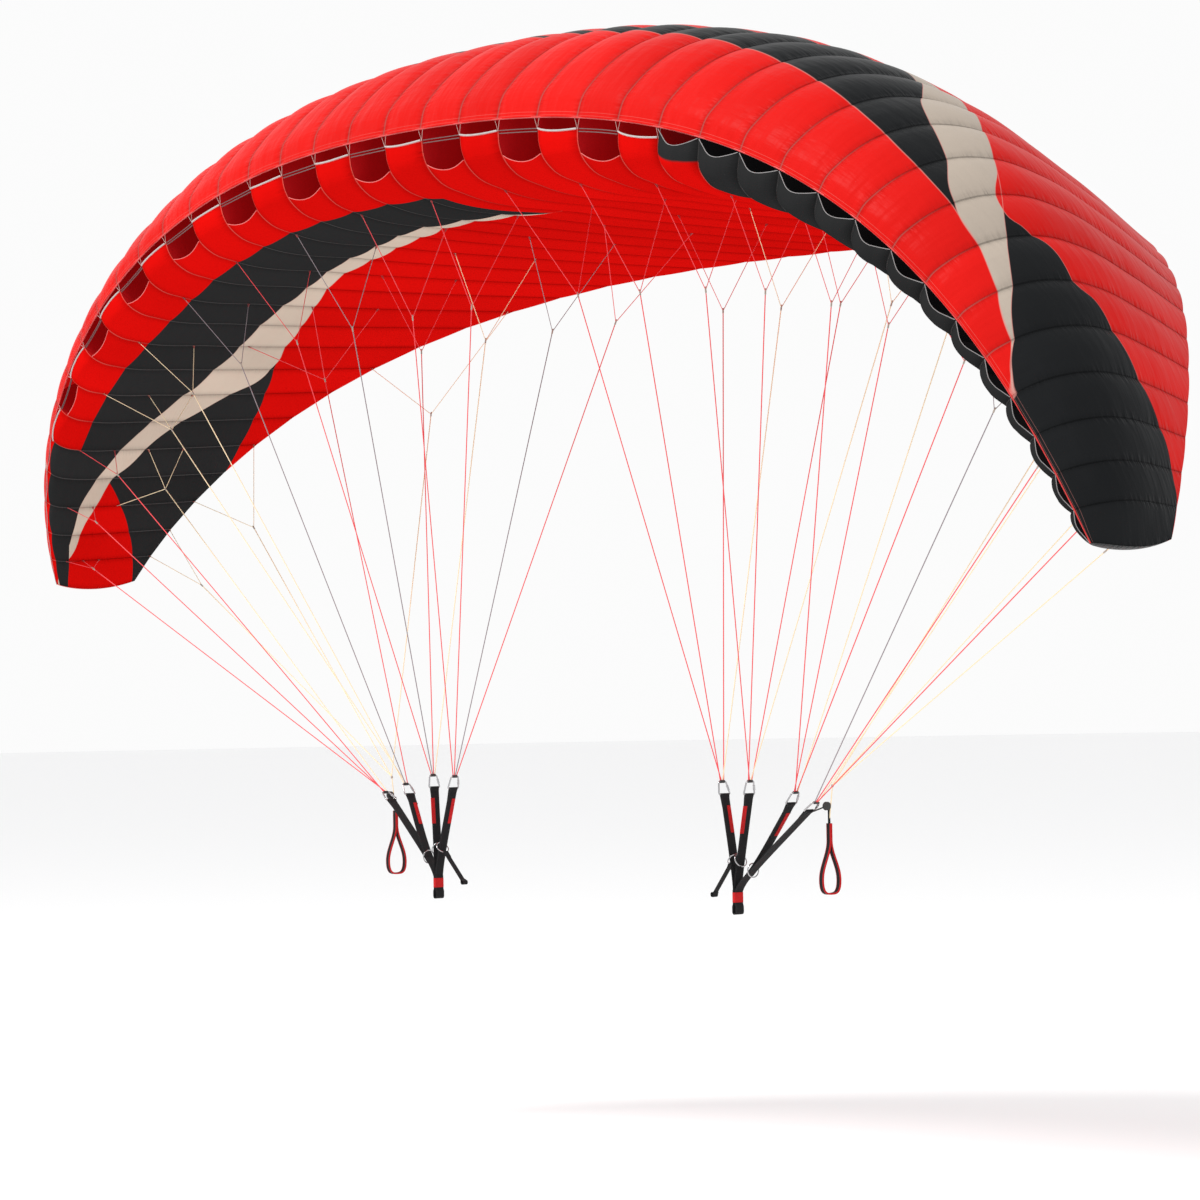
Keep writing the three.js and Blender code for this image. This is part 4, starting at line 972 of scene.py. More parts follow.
rod_grey = cord_finish("rod nylon", (0.46, 0.43, 0.42), 0.35, 40)
batten_dark = cord_finish("batten sleeve", (0.10, 0.035, 0.035), 0.5, 40)
mouth_parts = [
    ("mouth_rods", rod_paths, ROD, 8, rod_grey, "pulley"),
    ("mouth_battens", batten_paths, BATTEN, 6, batten_dark, "pulley"),
    ("mouth_strings", string_paths, STRING, 5, cord_finish("string", (0.62, 0.42, 0.38), 0.6), "line_cream"),
    ("mouth_hems", red_hems, HEM, 6, cord_finish("hem binding", (0.72, 0.10, 0.09), 0.55), "sail_cloth"),
    ("scoop_hems", pale_hems, HEM, 6, cord_finish("pale binding", (0.25, 0.24, 0.24), 0.5), "sail_cloth"),
]
for name, paths, radius, sides, material, slot in mouth_parts:
    dress(tube_mesh(name, paths, radius, sides), material, slot=slot)

# %% [markdown]
# ## Tips
# At each end of the span a narrow panel closes the last cell. It is a small grid drawn between the
# upper and the lower cloth, pushed outwards by the air like the cells.


# %% Tip panels
TIP_SWELL = 0.10


def tip_panel(hand):
    grid, backward, upward = grid_of(f"tip_panel_cloth_{hand}", 60, 8)
    share = np.clip(backward, 0.0, 1.0) ** 1.4
    spots = np.full(len(share), float(CELLS if hand == "right" else -CELLS))
    high, v_high, u = cloth_point(spots, upper_curve["lengths"][-1] * share, 0 * share, upper_curve, 1)
    low, v_low, u = cloth_point(spots, end_reach * share, 0 * share, lower_curve, -1)
    sideways = section(spots)[1]
    swell = TIP_SWELL * np.linalg.norm(high - low, axis=1) * pillow(upward, 0.7)
    points = low + along(high - low, upward) + along(sideways, swell)
    place_cloth(grid, points, spots, v_low + (v_high - v_low) * upward, u)
    return grid


def tip_finish():
    paint = Paint("tip nylon", Specular_IOR_Level=0.25)
    cells, v, _ = paint.split(paint.uv("cells"))
    metres = paint.uv("metres")
    height, _ = cloth_relief(paint, cells, v, metres)
    right = cells.above(0, 0.1)
    slow = paint.noise(metres, 2, 3)
    colour = paint.mix(right * (1 - v.above(0.93, 0.02)), RED, BLACK)
    colour = paint.shade(1.0, colour, 0.9 + (slow - 0.5) * 0.3 - weave(paint, metres) * 0.04)
    return paint.finish(colour, 0.42 + (slow - 0.5) * 0.1, paint.bump(height, 1.0, 0.6))


tip_cloth = tip_finish()
for hand in ("left", "right"):
    panel = tip_panel(hand)
    face_out(panel, (0, 1.0, -2.2))
    thicken(panel, 0.0012)
    smooth(panel)
    dress(panel, tip_cloth, f"tip_panel_{hand}", slot="sail_cloth")
    print(panel.name, len(panel.data.polygons), "faces")

# %% [markdown]
# ## Lines
# The canopy hangs on sheathed lines. A main line rises from the riser and forks into two or three
# upper lines, each sewn to a tab on the lower cloth. All are taut, held at both ends, so they are
# straight. One bevelled curve holds all lines of a colour and a thickness on one side, which keeps
# them round and light.

# %% Where the lines end
LINE_ROWS = {"a": 0.10, "b": 0.27, "c": 0.44, "d": 0.62, "k": 0.985}
MAIN_RADIUS, UPPER_RADIUS, FORK_DROP, BRAKE_DROP = 0.0036, 0.0026, 0.16, 0.70
MAIN_LINES = {
    "a": ["1a 1b", "3a 3b", "3c 3d", "1c 1d"],
    "b": ["5a 5b", "7a 7b", "7c 7d", "5c 5d"],
    "c": ["9a 9b", "11a 11b", "13a 13b 13c", "9c 9d 11c"],
    "d": ["15a 15b", "17a 17b", "19a 19b 19c", "15c 15d 17c"],
    "brake": ["18k 19k", "15k 17k", "9k 12k"],
}
LINE_COLOURS = {
    "left": {"a": "rrgr", "b": "grrc", "c": "gccr", "d": "rrrc", "brake": "ccc"},
    "right": {"a": "rrcr", "b": "rrcr", "c": "rrrc", "d": "grrc", "brake": "ccc"},
}
LINK_HEIGHT, SLEEVE_RADIUS, SLEEVE_LENGTH, LINE_PITCH = 0.088, 0.0102, 0.038, 0.0102
STRAPS = {
    "a": [(1.528, 1.272, -4.465), (1.640, 1.251, -4.885), (1.679, 1.242, -5.068), (1.679, 1.242, -5.165)],
    "b": [(1.770, 1.282, -4.462), (1.706, 1.254, -4.892), (1.684, 1.242, -5.068), (1.684, 1.242, -5.165)],
    "c": [(2.139, 1.330, -4.517), (1.860, 1.266, -4.924), (1.689, 1.242, -5.075), (1.689, 1.242, -5.165)],
    "d": [(2.346, 1.310, -4.559), (1.869, 1.264, -4.922), (1.785, 1.254, -4.996)],
}
BRAKE_KNOT, HANDLE_TOP = (2.470, 1.404, -4.400), (2.432, 1.404, -4.642)


def unit(vector):
    return vector / np.linalg.norm(vector)


def on_side(point, hand):
    return np.array(point, float) * (1 if hand == "right" else -1, 1, 1)


def tab_place(code, hand):
    """Where a line meets the lower cloth: code is the rib number and the row letter."""
    rib = float(code[:-1]) * (1 if hand == "right" else -1)
    reach = reach_at(lower_curve, LINE_ROWS[code[-1]])
    return cloth_point(rib, reach, 0.0, lower_curve, -1)[0]


def link_frame(riser, hand):
    """The foot of a quick link, the way it points, and its crown."""
    top, below = on_side(STRAPS[riser][0], hand), on_side(STRAPS[riser][1], hand)
    way = unit((top - below) * (1, 0, 1))
    return top, way, top + way * LINK_HEIGHT


def fork_of(codes, start, riser, hand):
    """Where a main line forks, and the tabs its upper lines run to."""
    ends = np.array([tab_place(code, hand) for code in codes.split()])
    middle = ends.mean(0)
    way = unit(start - middle)
    mean_share = np.mean([share_of(float(code[:-1])) for code in codes.split()])
    drop = BRAKE_DROP if riser == "brake" else FORK_DROP * float(chord_of(mean_share))
    return middle + way * drop, ends


# %% Lines
def lines_of(hand):
    """Main and upper line paths for each colour, and the places of tabs and forks."""
    mains, uppers, tabs, forks = {}, {}, [], []
    for riser, groups in MAIN_LINES.items():
        rears = [np.mean([tab_place(code, hand)[1] for code in codes.split()]) for codes in groups]
        order = list(np.argsort(rears))
        for index, codes in enumerate(groups):
            slot_shift = order.index(index) - (len(groups) - 1) / 2
            if riser == "brake":
                start = on_side(BRAKE_KNOT, hand) + np.array([0, -MAIN_RADIUS * slot_shift, 0])
            else:
                crown = link_frame(riser, hand)[2]
                aim = unit((tab_place(codes.split()[0], hand) - crown) * (1, 0, 1))
                start = crown + aim * SLEEVE_RADIUS * 0.85 + np.array([0, slot_shift * LINE_PITCH, 0])
            fork, ends = fork_of(codes, start, riser, hand)
            colour = LINE_COLOURS[hand][riser][index]
            mains.setdefault(colour, []).append([start, fork])
            uppers.setdefault(colour, []).extend([fork, end] for end in ends)
            tabs.extend((end, unit(fork - end)) for end in ends)
            forks.append((fork, unit(start - fork)))
    return mains, uppers, tabs, forks


LINE_SHADES = {
    "r": ("red", (0.86, 0.045, 0.060)), "c": ("cream", (0.95, 0.78, 0.50)), "g": ("grey", (0.26, 0.22, 0.24)),
}
tab_list, fork_list = [], []
for hand in ("left", "right"):
    mains, uppers, tabs, forks = lines_of(hand)
    tab_list += tabs
    fork_list += forks
    nodes = [f"lines_{riser}_{hand}" for riser in MAIN_LINES]
    mains["c"].append([on_side(BRAKE_KNOT, hand), on_side(HANDLE_TOP, hand)])
    for letter, (word, shade) in LINE_SHADES.items():
        thick = tube_mesh("main", mains.get(letter, []), MAIN_RADIUS, 8)
        thin = tube_mesh("upper", uppers.get(letter, []), UPPER_RADIUS, 6)
        lines = join_up(f"lines_{word}_{hand}", [thick, thin])
        material = bpy.data.materials.get(f"{word} line") or cord_finish(f"{word} line", shade, 0.55, 420)
        dress(lines, material, *nodes, slot="line_red" if letter == "r" else "line_cream")
mains_a_side = sum(len(groups) for groups in MAIN_LINES.values())
print("lines:", mains_a_side, "mains and", len(tab_list) // 2, "tabs a side")

# %% [markdown]
# ## Tabs and fork knots
# Each upper line is looped through a small folded tab that is sewn into the rib seam, and at a fork the
# sheaths are knotted and whipped. A tab is a short flat box, pinched at its lower end; a fork gets a
# small barrel. Each is made once with operators and copied with its own mesh.


# %% Small hardware
def choose_faces(thing, chosen):
    """Opens a mesh in edit mode with only the faces selected that a rule chooses."""
    pick(thing)
    bpy.ops.object.mode_set(mode="EDIT")
    bpy.ops.mesh.select_mode(type="FACE")
    bpy.ops.mesh.select_all(action="DESELECT")
    bpy.ops.object.mode_set(mode="OBJECT")
    for face in thing.data.polygons:
        face.select = chosen(face)
    bpy.ops.object.mode_set(mode="EDIT")


def settle(thing):
    """Leaves the object's place, turn and scale in its mesh."""
    pick(thing)
    bpy.ops.object.transform_apply(location=True, rotation=True, scale=True)
    return thing


def bevel(thing, width, segments=2):
    cut = thing.modifiers.new("edge", "BEVEL")
    cut.width, cut.segments = width, segments
    cut.limit_method = "ANGLE"
    cut.angle_limit = math.radians(35)
    apply_all(thing)


def copies(model, name, places):
    """Copies a model to each place, turned along its way, each with its own mesh, and joins them."""
    made = []
    for place, way in places:
        twin = bpy.data.objects.new(name, model.data.copy())
        bpy.context.scene.collection.objects.link(twin)
        twin.matrix_world = frame_at(place, way)
        made.append(settle(twin))
    bpy.data.objects.remove(model)
    return join_up(name, made)


def frame_at(place, along_z, hint=(0, 1, 0)):
    """A 4x4 frame whose Z looks along a way and whose Y is near the hint."""
    z = Vector(along_z).normalized()
    x = Vector(hint).cross(z).normalized()
    y = z.cross(x)
    return Matrix.Translation(Vector(place)) @ Matrix((x, y, z)).transposed().to_4x4()


TAB_SIZE, TAB_DROP = (0.003, 0.020, 0.030), 0.012
KNOT_RADIUS, KNOT_LENGTH, KNOT_INSET = 0.0056, 0.034, 0.0022
deselect()
bpy.ops.mesh.primitive_cube_add(size=1, location=(0, 0, TAB_DROP))
tab = bpy.context.object
tab.scale = TAB_SIZE
settle(tab)
choose_faces(tab, lambda face: face.center.z > 0.02)
bpy.ops.transform.resize(value=(1.6, 0.35, 1))
bpy.ops.object.mode_set(mode="OBJECT")
bevel(tab, 0.0008, 1)
tabs = copies(tab, "line_tabs", tab_list)

deselect()
bpy.ops.mesh.primitive_cylinder_add(vertices=8, radius=KNOT_RADIUS, depth=KNOT_LENGTH)
barrel = bpy.context.object
choose_faces(barrel, lambda face: abs(face.normal.z) > 0.9)
bpy.ops.mesh.inset(thickness=KNOT_INSET)
bpy.ops.transform.resize(value=(1, 1, 1.25))
bpy.ops.object.mode_set(mode="OBJECT")
knots = copies(barrel, "fork_knots", fork_list)


THREAD = (0.10, 0.10, 0.11)


def webbing_finish(title, colour, edge_colour=None, half_width=0.035, thread=THREAD):
    """Woven tape: ribs across, a soft edge, and lines of stitching beside each edge."""
    paint = Paint(title, Sheen_Weight=0.03, Sheen_Roughness=0.6, Specular_IOR_Level=0.12)
    across, length, _ = paint.split(paint.uv("metres"))
    warp = (across * 1900).wave()
    weft = (length * 1500).wave()
    slow = paint.noise(paint.place(), 25, 3)
    shade = colour
    if edge_colour:
        shade = paint.mix(abs(across).above(half_width * 0.72, 0.001), shade, edge_colour)
    stitch = abs(across).near(half_width * 0.80, 0.0008, 0.0005) * (length * 220).part().above(0.35, 0.1)
    shade = paint.mix(stitch * 0.7, shade, thread)
    shade = paint.shade(1.0, shade, 0.85 + warp * weft * 0.16 + (slow - 0.5) * 0.4)
    height = warp * weft * 0.35 + stitch * 0.8 + slow * 0.4
    return paint.finish(shade, 0.75 + (slow - 0.5) * 0.2, paint.bump(height, 0.0006))


whipping = cord_finish("whipping", (0.42, 0.36, 0.30), 0.7, 900)
dress(tabs, cord_finish("tab tape", (0.30, 0.03, 0.03), 0.7, 600), slot="red_webbing")
dress(knots, whipping, slot="line_cream")
print("tabs", len(tabs.data.polygons), "faces, knots", len(knots.data.polygons), "faces")

# %% [markdown]
# ## Risers
# A riser is a set of webbing straps that gather the lines and meet at the hang loop. Webbing is flat,
# so a strap is a strip laid along a path and given its thickness. The path carries the whole shape:
# a straight strap, a loop with an eye, a band or a handle all come from the same helper.


# %% Strap helper
def softened(path, rounds=3):
    """Cuts the corners of a path, a quarter of each stretch at a time."""
    for _ in range(rounds):
        cut = [path[0]]
        for a, b in zip(path[:-1], path[1:]):
            cut += [a + (b - a) * 0.25, a + (b - a) * 0.75]
        path = np.array(cut + [path[-1]])
    return path


def resample(path, spacing):
    """Evenly spaced points of a path, and how far along it each of them is."""
    marks = np.concatenate([[0], np.cumsum(np.linalg.norm(np.diff(path, axis=0), axis=1))])
    count = max(2, int(marks[-1] / spacing) + 1)
    at = np.linspace(0, marks[-1], count)
    return np.stack([np.interp(at, marks, path[:, axis]) for axis in range(3)], -1), at


def strap(name, path, width, thickness, across=(0, 1, 0), spacing=0.006, soft=False, rows=6, closed=False):
    """A flat strip along a path, its width along 'across'."""
    path = np.array(path, float)
    points, at = resample(softened(path) if soft else path, spacing)
    grid, share_across, share_along = grid_of(name, rows, len(points) - 1)
    index = np.round(share_along * (len(points) - 1)).astype(int)
    from_middle = (share_across - 0.5) * width
    spots = points[index] + np.outer(from_middle, np.array(across, float))
    set_shape(grid, spots, metres=np.stack([from_middle, at[index]], -1))
    if closed:
        on_whole_mesh(grid, bpy.ops.mesh.remove_doubles, threshold=0.0002)
    thicken(grid, thickness)
    bevel(grid, thickness * 0.22, 2)
    smooth(grid, 50)
    return grid


def turn_round(centre, radius, side_way, way, spare, count):
    """The turn of an eye: round a centre, from one side to the other by way of its far end."""
    angles = np.linspace(-spare, math.pi + spare, count)
    return [centre + radius * (math.cos(t) * side_way + math.sin(t) * way) for t in angles]


def fitted(material, name, node, slot, *parts):
    """Joins the parts of a piece and puts it in the place of its node."""
    piece = parts[0] if len(parts) == 1 else join_up(name, list(parts))
    piece.name = piece.data.name = name
    dress(piece, material, node, slot=slot)
    print(name, len(piece.data.polygons), "faces")


# %% Webbing, steel and rubber
def hard_finish(title, colour, rough, grain, patches, patch_depth, relief, **fixed):
    """Metal or rubber: patches change its shade and roughness, and a grain its surface."""
    paint = Paint(title, **fixed)
    fine_grain = paint.noise(paint.place(), *grain)
    patchy = paint.noise(paint.place(), *patches)
    shade = paint.shade(1.0, colour, 0.8 + patchy * patch_depth)
    return paint.finish(shade, rough + (patchy - 0.5) * 0.2, paint.bump(fine_grain, relief))


black_web = webbing_finish("black webbing", (0.012, 0.012, 0.013))
red_web = webbing_finish("red webbing", (0.55, 0.012, 0.014), half_width=0.03, thread=(0.30, 0.02, 0.02))
steel = hard_finish(
    "polished steel", (0.42, 0.42, 0.43), 0.22, (160, 3), (18, 2), 0.35, 0.0003, Metallic=1.0
)
rubber = hard_finish("black rubber", (0.02, 0.02, 0.021), 0.5, (90, 3), (90, 3), 0.4, 0.0004)
print("finishes:", black_web.name, red_web.name, steel.name, rubber.name)

# %% Straps of the risers
WEBBING, WIDTH, EYE = 0.004, 0.070, 0.0092
FOLD, EYE_TAIL, STRAP_START = 0.0042, 0.085, 0.030


def riser_strap(riser, hand):
    route = [on_side(p, hand) for p in STRAPS[riser]]
    top, way, _ = link_frame(riser, hand)
    side_way = np.array([-way[2], 0, way[0]])
    turn = turn_round(top, EYE - WEBBING / 2, side_way, way, 0.6, 17)
    eye_route = [top - way * EYE_TAIL + side_way * FOLD] + turn + [top - way * STRAP_START]
    eye = strap("eye", eye_route, WIDTH, WEBBING)
    body = strap("strap", [top - way * STRAP_START] + route[1:], WIDTH, WEBBING, soft=True)
    fitted(black_web, f"strap_{riser}_{hand}", f"riser_{riser}_{hand}", "black_webbing", eye, body)


for hand in ("left", "right"):
    for riser in STRAPS:
        riser_strap(riser, hand)

# %% [markdown]
# ## Labels, links and rings
# Red labels are folded over one edge of three straps. The links are wire bent to a trapezoid, narrow
# at the top where the lines sit, with a screw sleeve on one leg. Three steel rings lie on the straps,
# and the inner strap hangs on the front one.


# %% Edge labels
LABELS = {"a": 1, "b": -1, "c": 1}
LABEL_START, LABEL_LENGTH, LABEL_WIDTH, LABEL_CLOTH, LABEL_EASE = 0.075, 0.183, 0.030, 0.0012, 0.0011


def edge_label(riser, hand, edge):
    """A label folded over the rear edge of a strap where edge is 1, and the front edge where it is -1."""
    top, below = on_side(STRAPS[riser][0], hand), on_side(STRAPS[riser][1], hand)
    down = unit(below - top)
    out = unit(np.cross((0, 1, 0), down))
    gap, rim, end = WEBBING / 2 + LABEL_EASE, WIDTH / 2 + LABEL_EASE, WIDTH / 2 - LABEL_WIDTH
    angles = np.linspace(0.3, math.pi - 0.3, 7)
    fold = [(end, gap), (rim - gap, gap)]
    fold += [(rim - gap + gap * math.sin(t), gap * math.cos(t)) for t in angles]
    fold += [(rim - gap, -gap), (end, -gap)]
    middle = top + down * (LABEL_START + LABEL_LENGTH / 2)
    path = [middle + np.array([0, y * edge, 0]) + out * t for y, t in fold]
    label = strap("label", path, LABEL_LENGTH, LABEL_CLOTH, across=down, spacing=0.0025, rows=24)
    fitted(red_web, f"edge_label_{riser}_{hand}", f"riser_label_{riser}_{hand}", "red_webbing", label)


for hand in ("left", "right"):
    for riser, edge in LABELS.items():
        edge_label(riser, hand, edge)

# %% Quick links
LINK_WIRE, LINK_BASE, LINK_TOP, LINK_CORNER = 0.0056, 0.092, 0.058, 0.012
NUT_RADIUS, NUT_LENGTH = 0.0088, 0.034


def rounded(corners, radius, steps=6):
    """A closed path with its corners rounded."""
    path = []
    for i, corner in enumerate(corners):
        before, after = corners[i - 1], corners[(i + 1) % len(corners)]
        start = corner + unit(before - corner) * radius
        end = corner + unit(after - corner) * radius
        for t in np.linspace(0, 1, steps):
            path.append((1 - t) ** 2 * start + 2 * t * (1 - t) * corner + t**2 * end)
    return path


def bar(radius, depth, vertices, edge, place):
    """A cylinder with bevelled edges, put where a 4x4 frame says."""
    deselect()
    bpy.ops.mesh.primitive_cylinder_add(vertices=vertices, radius=radius, depth=depth)
    made = bpy.context.object
    bevel(made, edge, 2)
    made.matrix_world = place
    return settle(made)


def quick_link(riser, hand):
    top, _, crown = link_frame(riser, hand)
    foot_half, crown_half = np.array([0, LINK_BASE / 2, 0]), np.array([0, LINK_TOP / 2, 0])
    corners = [top + foot_half, crown + crown_half, crown - crown_half, top - foot_half]
    wire = tube_mesh("wire", [rounded(corners, LINK_CORNER)], LINK_WIRE, 10, ring=True)
    on_leg = frame_at((corners[0] + corners[1]) / 2, unit(corners[0] - corners[1]))
    nut = bar(NUT_RADIUS, NUT_LENGTH, 6, NUT_RADIUS * 0.14, on_leg)
    fitted(steel, f"link_{riser}_{hand}", f"quick_link_{riser}_{hand}", "steel", wire, nut)


def line_sleeve(riser, hand):
    crown = link_frame(riser, hand)[2]
    sleeve = bar(SLEEVE_RADIUS, SLEEVE_LENGTH, 24, 0.002, frame_at(crown, (0, 1, 0), (1, 0, 0)))
    smooth(sleeve, 40)
    fitted(rubber, f"line_sleeve_{riser}_{hand}", f"lines_{riser}_{hand}", "pulley", sleeve)


for hand in ("left", "right"):
    for riser in STRAPS:
        quick_link(riser, hand)
        line_sleeve(riser, hand)

# %% Rings
RING_RADIUS, RING_WIRE, INNER_END = 0.046, 0.004, (1.407, 1.267, -5.126)
B_TILT, C_TILT, C_DROP = -0.61, -0.85, 0.048


def turned(way, tilt):
    return np.array(Matrix.Rotation(tilt, 3, "Y") @ Vector(way))


def ring_places(hand):
    """The centre of each ring and a way in its plane."""
    mirror = 1 if hand == "right" else -1
    a, b, c = [on_side(STRAPS[r][1], hand) for r in "abc"]
    inner_way = unit((on_side(INNER_END, hand) - a) * (1, 0, 1))
    b_way = turned(unit((b - on_side(STRAPS["b"][0], hand)) * (1, 0, 1)), B_TILT * mirror)
    rear_way = unit(on_side(STRAPS["c"][2], hand) - c)
    c_way = turned(unit(rear_way * (1, 0, 1)), C_TILT * mirror)
    return {"a": (a, inner_way), "b": (b, b_way), "c": (c + rear_way * C_DROP, c_way)}


def ring(letter, hand):
    place, way = ring_places(hand)[letter]
    deselect()
    bpy.ops.mesh.primitive_torus_add(
        major_segments=56, minor_segments=12, major_radius=RING_RADIUS, minor_radius=RING_WIRE
    )
    hoop = bpy.context.object
    hoop.matrix_world = frame_at(place, np.cross((0, 1, 0), way))
    smooth(hoop, 60)
    fitted(steel, f"hoop_{letter}_{hand}", f"ring_{letter}_{hand}", "steel", settle(hoop))


for hand in ("left", "right"):
    for letter in "abc":
        ring(letter, hand)

# %% [markdown]
# ## Inner straps, hang loops and bands
# The inner strap hangs on the front ring and ends in an empty eye. Below the join the straps are sewn
# between the legs of the hang loop, which takes the karabiner, and a red band is wound round them.


# %% Inner strap, hang loop and band
INNER_WIDTH, HEAD_BORE, END_BORE = 0.040, 0.0072, 0.015
RISER_FOOT, LOOP_LEG, LOOP_EYE, LOOP_END = (1.684, 1.242, 0), 0.010, 0.017, 0.018
BAND_X, BAND_Y, BAND_Z, BAND_HEIGHT, BAND_CLOTH = 0.0135, 0.0365, -5.135, 0.066, 0.002


def inner_strap(hand):
    start = ring_places(hand)["a"][0]
    end = on_side(INNER_END, hand)
    down = unit(end - start)
    side_way = unit(np.cross(down, (0, 1, 0)))
    hold = start + down * RING_RADIUS
    head = turn_round(hold, HEAD_BORE, side_way, -down, 0.5, 13)
    eye = turn_round(end, END_BORE, side_way, down, 0.9, 17)
    top_route = [hold + down * 0.05 + side_way * FOLD] + head + [hold + down * 0.03]
    low_route = [end - down * 0.028 + side_way * FOLD] + eye + [end - down * 0.022]
    parts = [strap("body", [hold + down * 0.028, end - down * 0.020], INNER_WIDTH, WEBBING, rows=4)]
    for route in (top_route, low_route):
        parts.append(strap("eye", route, INNER_WIDTH, WEBBING, rows=4, spacing=0.003))
    fitted(black_web, f"inner_strap_cloth_{hand}", f"inner_strap_{hand}", "black_webbing", *parts)


def hang_loop(hand):
    x, y, _ = on_side(RISER_FOOT, hand)
    leg = [(LOOP_LEG, -5.085), (LOOP_LEG, -5.178), (LOOP_EYE, -5.196), (LOOP_EYE, -5.224)]
    angles = np.linspace(0.15, math.pi - 0.15, 11)
    bottom = [(LOOP_EYE * math.cos(t), -5.228 - LOOP_END * math.sin(t)) for t in angles]
    outline = leg + bottom + [(-dx, z) for dx, z in reversed(leg)]
    loop = strap("loop", [(x + dx, y, z) for dx, z in outline], WIDTH, WEBBING, spacing=0.004)
    fitted(black_web, f"karabiner_loop_{hand}", f"hang_loop_{hand}", "black_webbing", loop)


def red_band(hand):
    x, y, _ = on_side(RISER_FOOT, hand)
    turns = ((1, 1), (-1, 1), (-1, -1), (1, -1))
    path = rounded([np.array([x + sx * BAND_X, y + sy * BAND_Y, BAND_Z]) for sx, sy in turns], 0.006, 5)
    path += path[:1]
    band = strap("band", path, BAND_HEIGHT, BAND_CLOTH, (0, 0, 1), spacing=0.003, rows=8, closed=True)
    fitted(red_web, f"loop_band_{hand}", f"red_band_{hand}", "red_webbing", band)


for hand in ("left", "right"):
    inner_strap(hand)
    hang_loop(hand)
    red_band(hand)

# %% [markdown]
# ## Brakes
# The brake lines run through a pulley on the rear strap to a handle: a teardrop of padded webbing with
# red piping. The pulley is a grooved wheel between two cheeks on an axle.

# %% Brake handles
HANDLE_NECK, HANDLE_LENGTH, HANDLE_HALF, HANDLE_RIM = 0.110, 0.450, 0.078, 0.0045
HANDLE_WEB, HANDLE_PAD, HANDLE_SLEEVE = 0.040, 0.0115, 0.0085
HANDLE_RED = (0.55, 0.010, 0.012)
handle_web = webbing_finish("handle webbing", (0.010, 0.010, 0.011), HANDLE_RED, half_width=0.020)


def bezier(start, first_handle, second_handle, end, count=14):
    """Points along a cubic curve."""
    p = np.array([start, first_handle, second_handle, end], float)
    t = np.linspace(0, 1, count)[:, None]
    return (1 - t) ** 3 * p[0] + 3 * t * (1 - t) ** 2 * p[1] + 3 * t**2 * (1 - t) * p[2] + t**3 * p[3]


def brake_handle(hand):
    x, y, z = on_side(HANDLE_TOP, hand)
    neck, foot, half = z - HANDLE_NECK, z - HANDLE_LENGTH - HANDLE_RIM, HANDLE_HALF - HANDLE_RIM
    widest = foot + HANDLE_HALF * 1.15
    flank = bezier((HANDLE_RIM, neck), (HANDLE_RIM, neck - 0.09), (half, widest + 0.09), (half, widest))
    heel = bezier((half, widest), (half, foot), (half / 2, foot), (0, foot))
    one_side = np.concatenate([[(HANDLE_RIM, z)], flank, heel[1:]])
    path = [(x, y + dy, dz) for dy, dz in one_side] + [(x, y - dy, dz) for dy, dz in one_side[::-1][1:]]
    loop = strap("handle", path, HANDLE_WEB, HANDLE_PAD, across=(1, 0, 0), spacing=0.008, rows=4)
    sleeve = tube_mesh("neck", [[(x, y, z + 0.10), (x, y, z - 0.005)]], HANDLE_SLEEVE, 12)
    fitted(handle_web, f"handle_{hand}", f"brake_handle_{hand}", "black_webbing", loop, sleeve)


# %% Pulleys
PULLEY, WHEEL_RADIUS, WHEEL_WIDTH, GROOVE = (2.448, 1.372, -4.530), 0.0255, 0.012, 0.78
CHEEK_RADIUS, CHEEK, CHEEK_SHIFT, AXLE_RADIUS, AXLE_LENGTH = 0.028, 0.003, 0.0085, 0.006, 0.022
TAB_START, TAB_WIDTH, BALL_RADIUS = 0.040, 0.024, 0.009


def disc(radius, depth, shift, vertices=32):
    on_its_side = Matrix.Translation((shift, 0, 0)) @ Matrix.Rotation(math.pi / 2, 4, "Y")
    return bar(radius, depth, vertices, min(depth * 0.3, 0.0012), on_its_side)


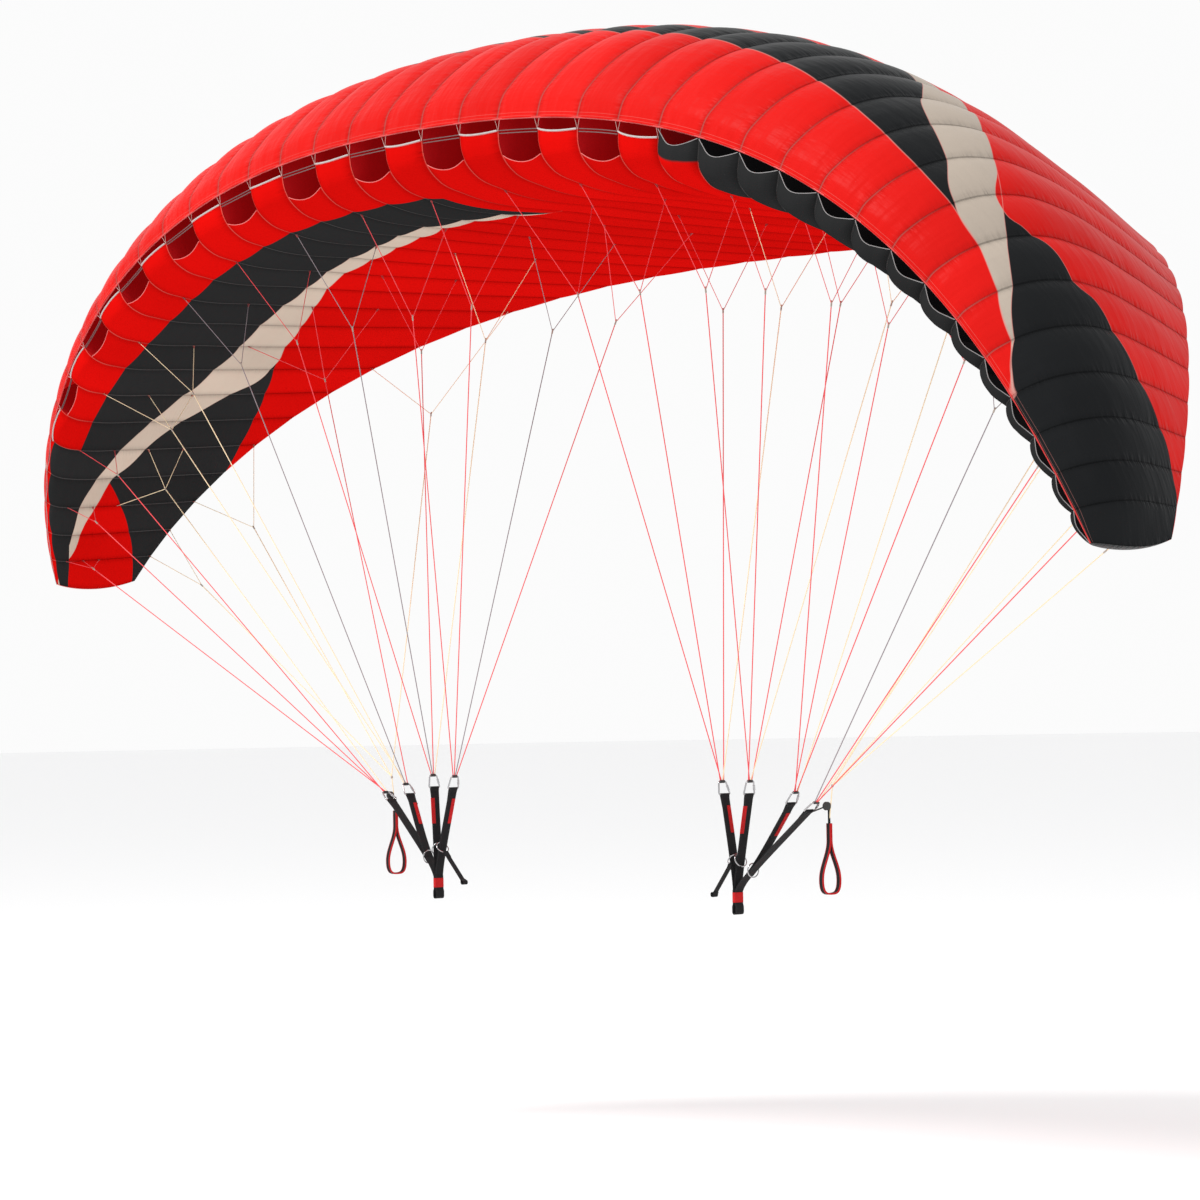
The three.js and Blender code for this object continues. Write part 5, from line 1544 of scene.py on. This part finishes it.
def brake_pulley(hand):
    """The wheel's groove is a cut round its middle, scaled inwards."""
    deselect()
    bpy.ops.mesh.primitive_cylinder_add(vertices=40, radius=WHEEL_RADIUS, depth=WHEEL_WIDTH)
    wheel = bpy.context.object
    bpy.ops.object.mode_set(mode="EDIT")
    bpy.ops.mesh.select_mode(type="FACE")
    bpy.ops.mesh.select_all(action="SELECT")
    bpy.ops.mesh.bisect(plane_co=(0, 0, 0), plane_no=(0, 0, 1))
    bpy.ops.transform.resize(value=(GROOVE, GROOVE, 1))
    bpy.ops.object.mode_set(mode="OBJECT")
    bevel(wheel, 0.001, 2)
    wheel.matrix_world = Matrix.Rotation(math.pi / 2, 4, "Y")
    settle(wheel)
    axle = disc(AXLE_RADIUS, AXLE_LENGTH, 0, 6)
    cheeks = [disc(CHEEK_RADIUS, CHEEK, shift) for shift in (CHEEK_SHIFT, -CHEEK_SHIFT)]
    pulley = join_up(f"pulley_{hand}", [wheel, *cheeks, axle])
    pulley.location = on_side(PULLEY, hand)
    settle(pulley)
    smooth(pulley, 35)
    fitted(rubber, f"pulley_{hand}", f"brake_pulley_{hand}", "pulley", pulley)


def pulley_tab(hand):
    top, below = on_side(STRAPS["d"][0], hand), on_side(STRAPS["d"][1], hand)
    root, wheel = top + unit(below - top) * TAB_START, on_side(PULLEY, hand)
    tab = strap("tab", [root, (root + wheel) / 2, wheel], TAB_WIDTH, WEBBING, rows=4)
    fitted(black_web, f"pulley_tab_{hand}", f"riser_d_{hand}", "black_webbing", tab)


def knot_ball(hand):
    deselect()
    bpy.ops.mesh.primitive_ico_sphere_add(subdivisions=3, radius=BALL_RADIUS)
    ball = bpy.context.object
    ball.location = on_side(BRAKE_KNOT, hand)
    ball.scale = (1, 1, 1.25)
    settle(ball)
    smooth(ball, 60)
    fitted(whipping, f"brake_knot_{hand}", f"lines_brake_{hand}", "line_cream", ball)


for hand in ("left", "right"):
    brake_handle(hand)
    brake_pulley(hand)
    pulley_tab(hand)
    knot_ball(hand)

# %% What is still a bare solid
print("nodes left as solids:", [name for name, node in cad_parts.items() if not node.hide_render])
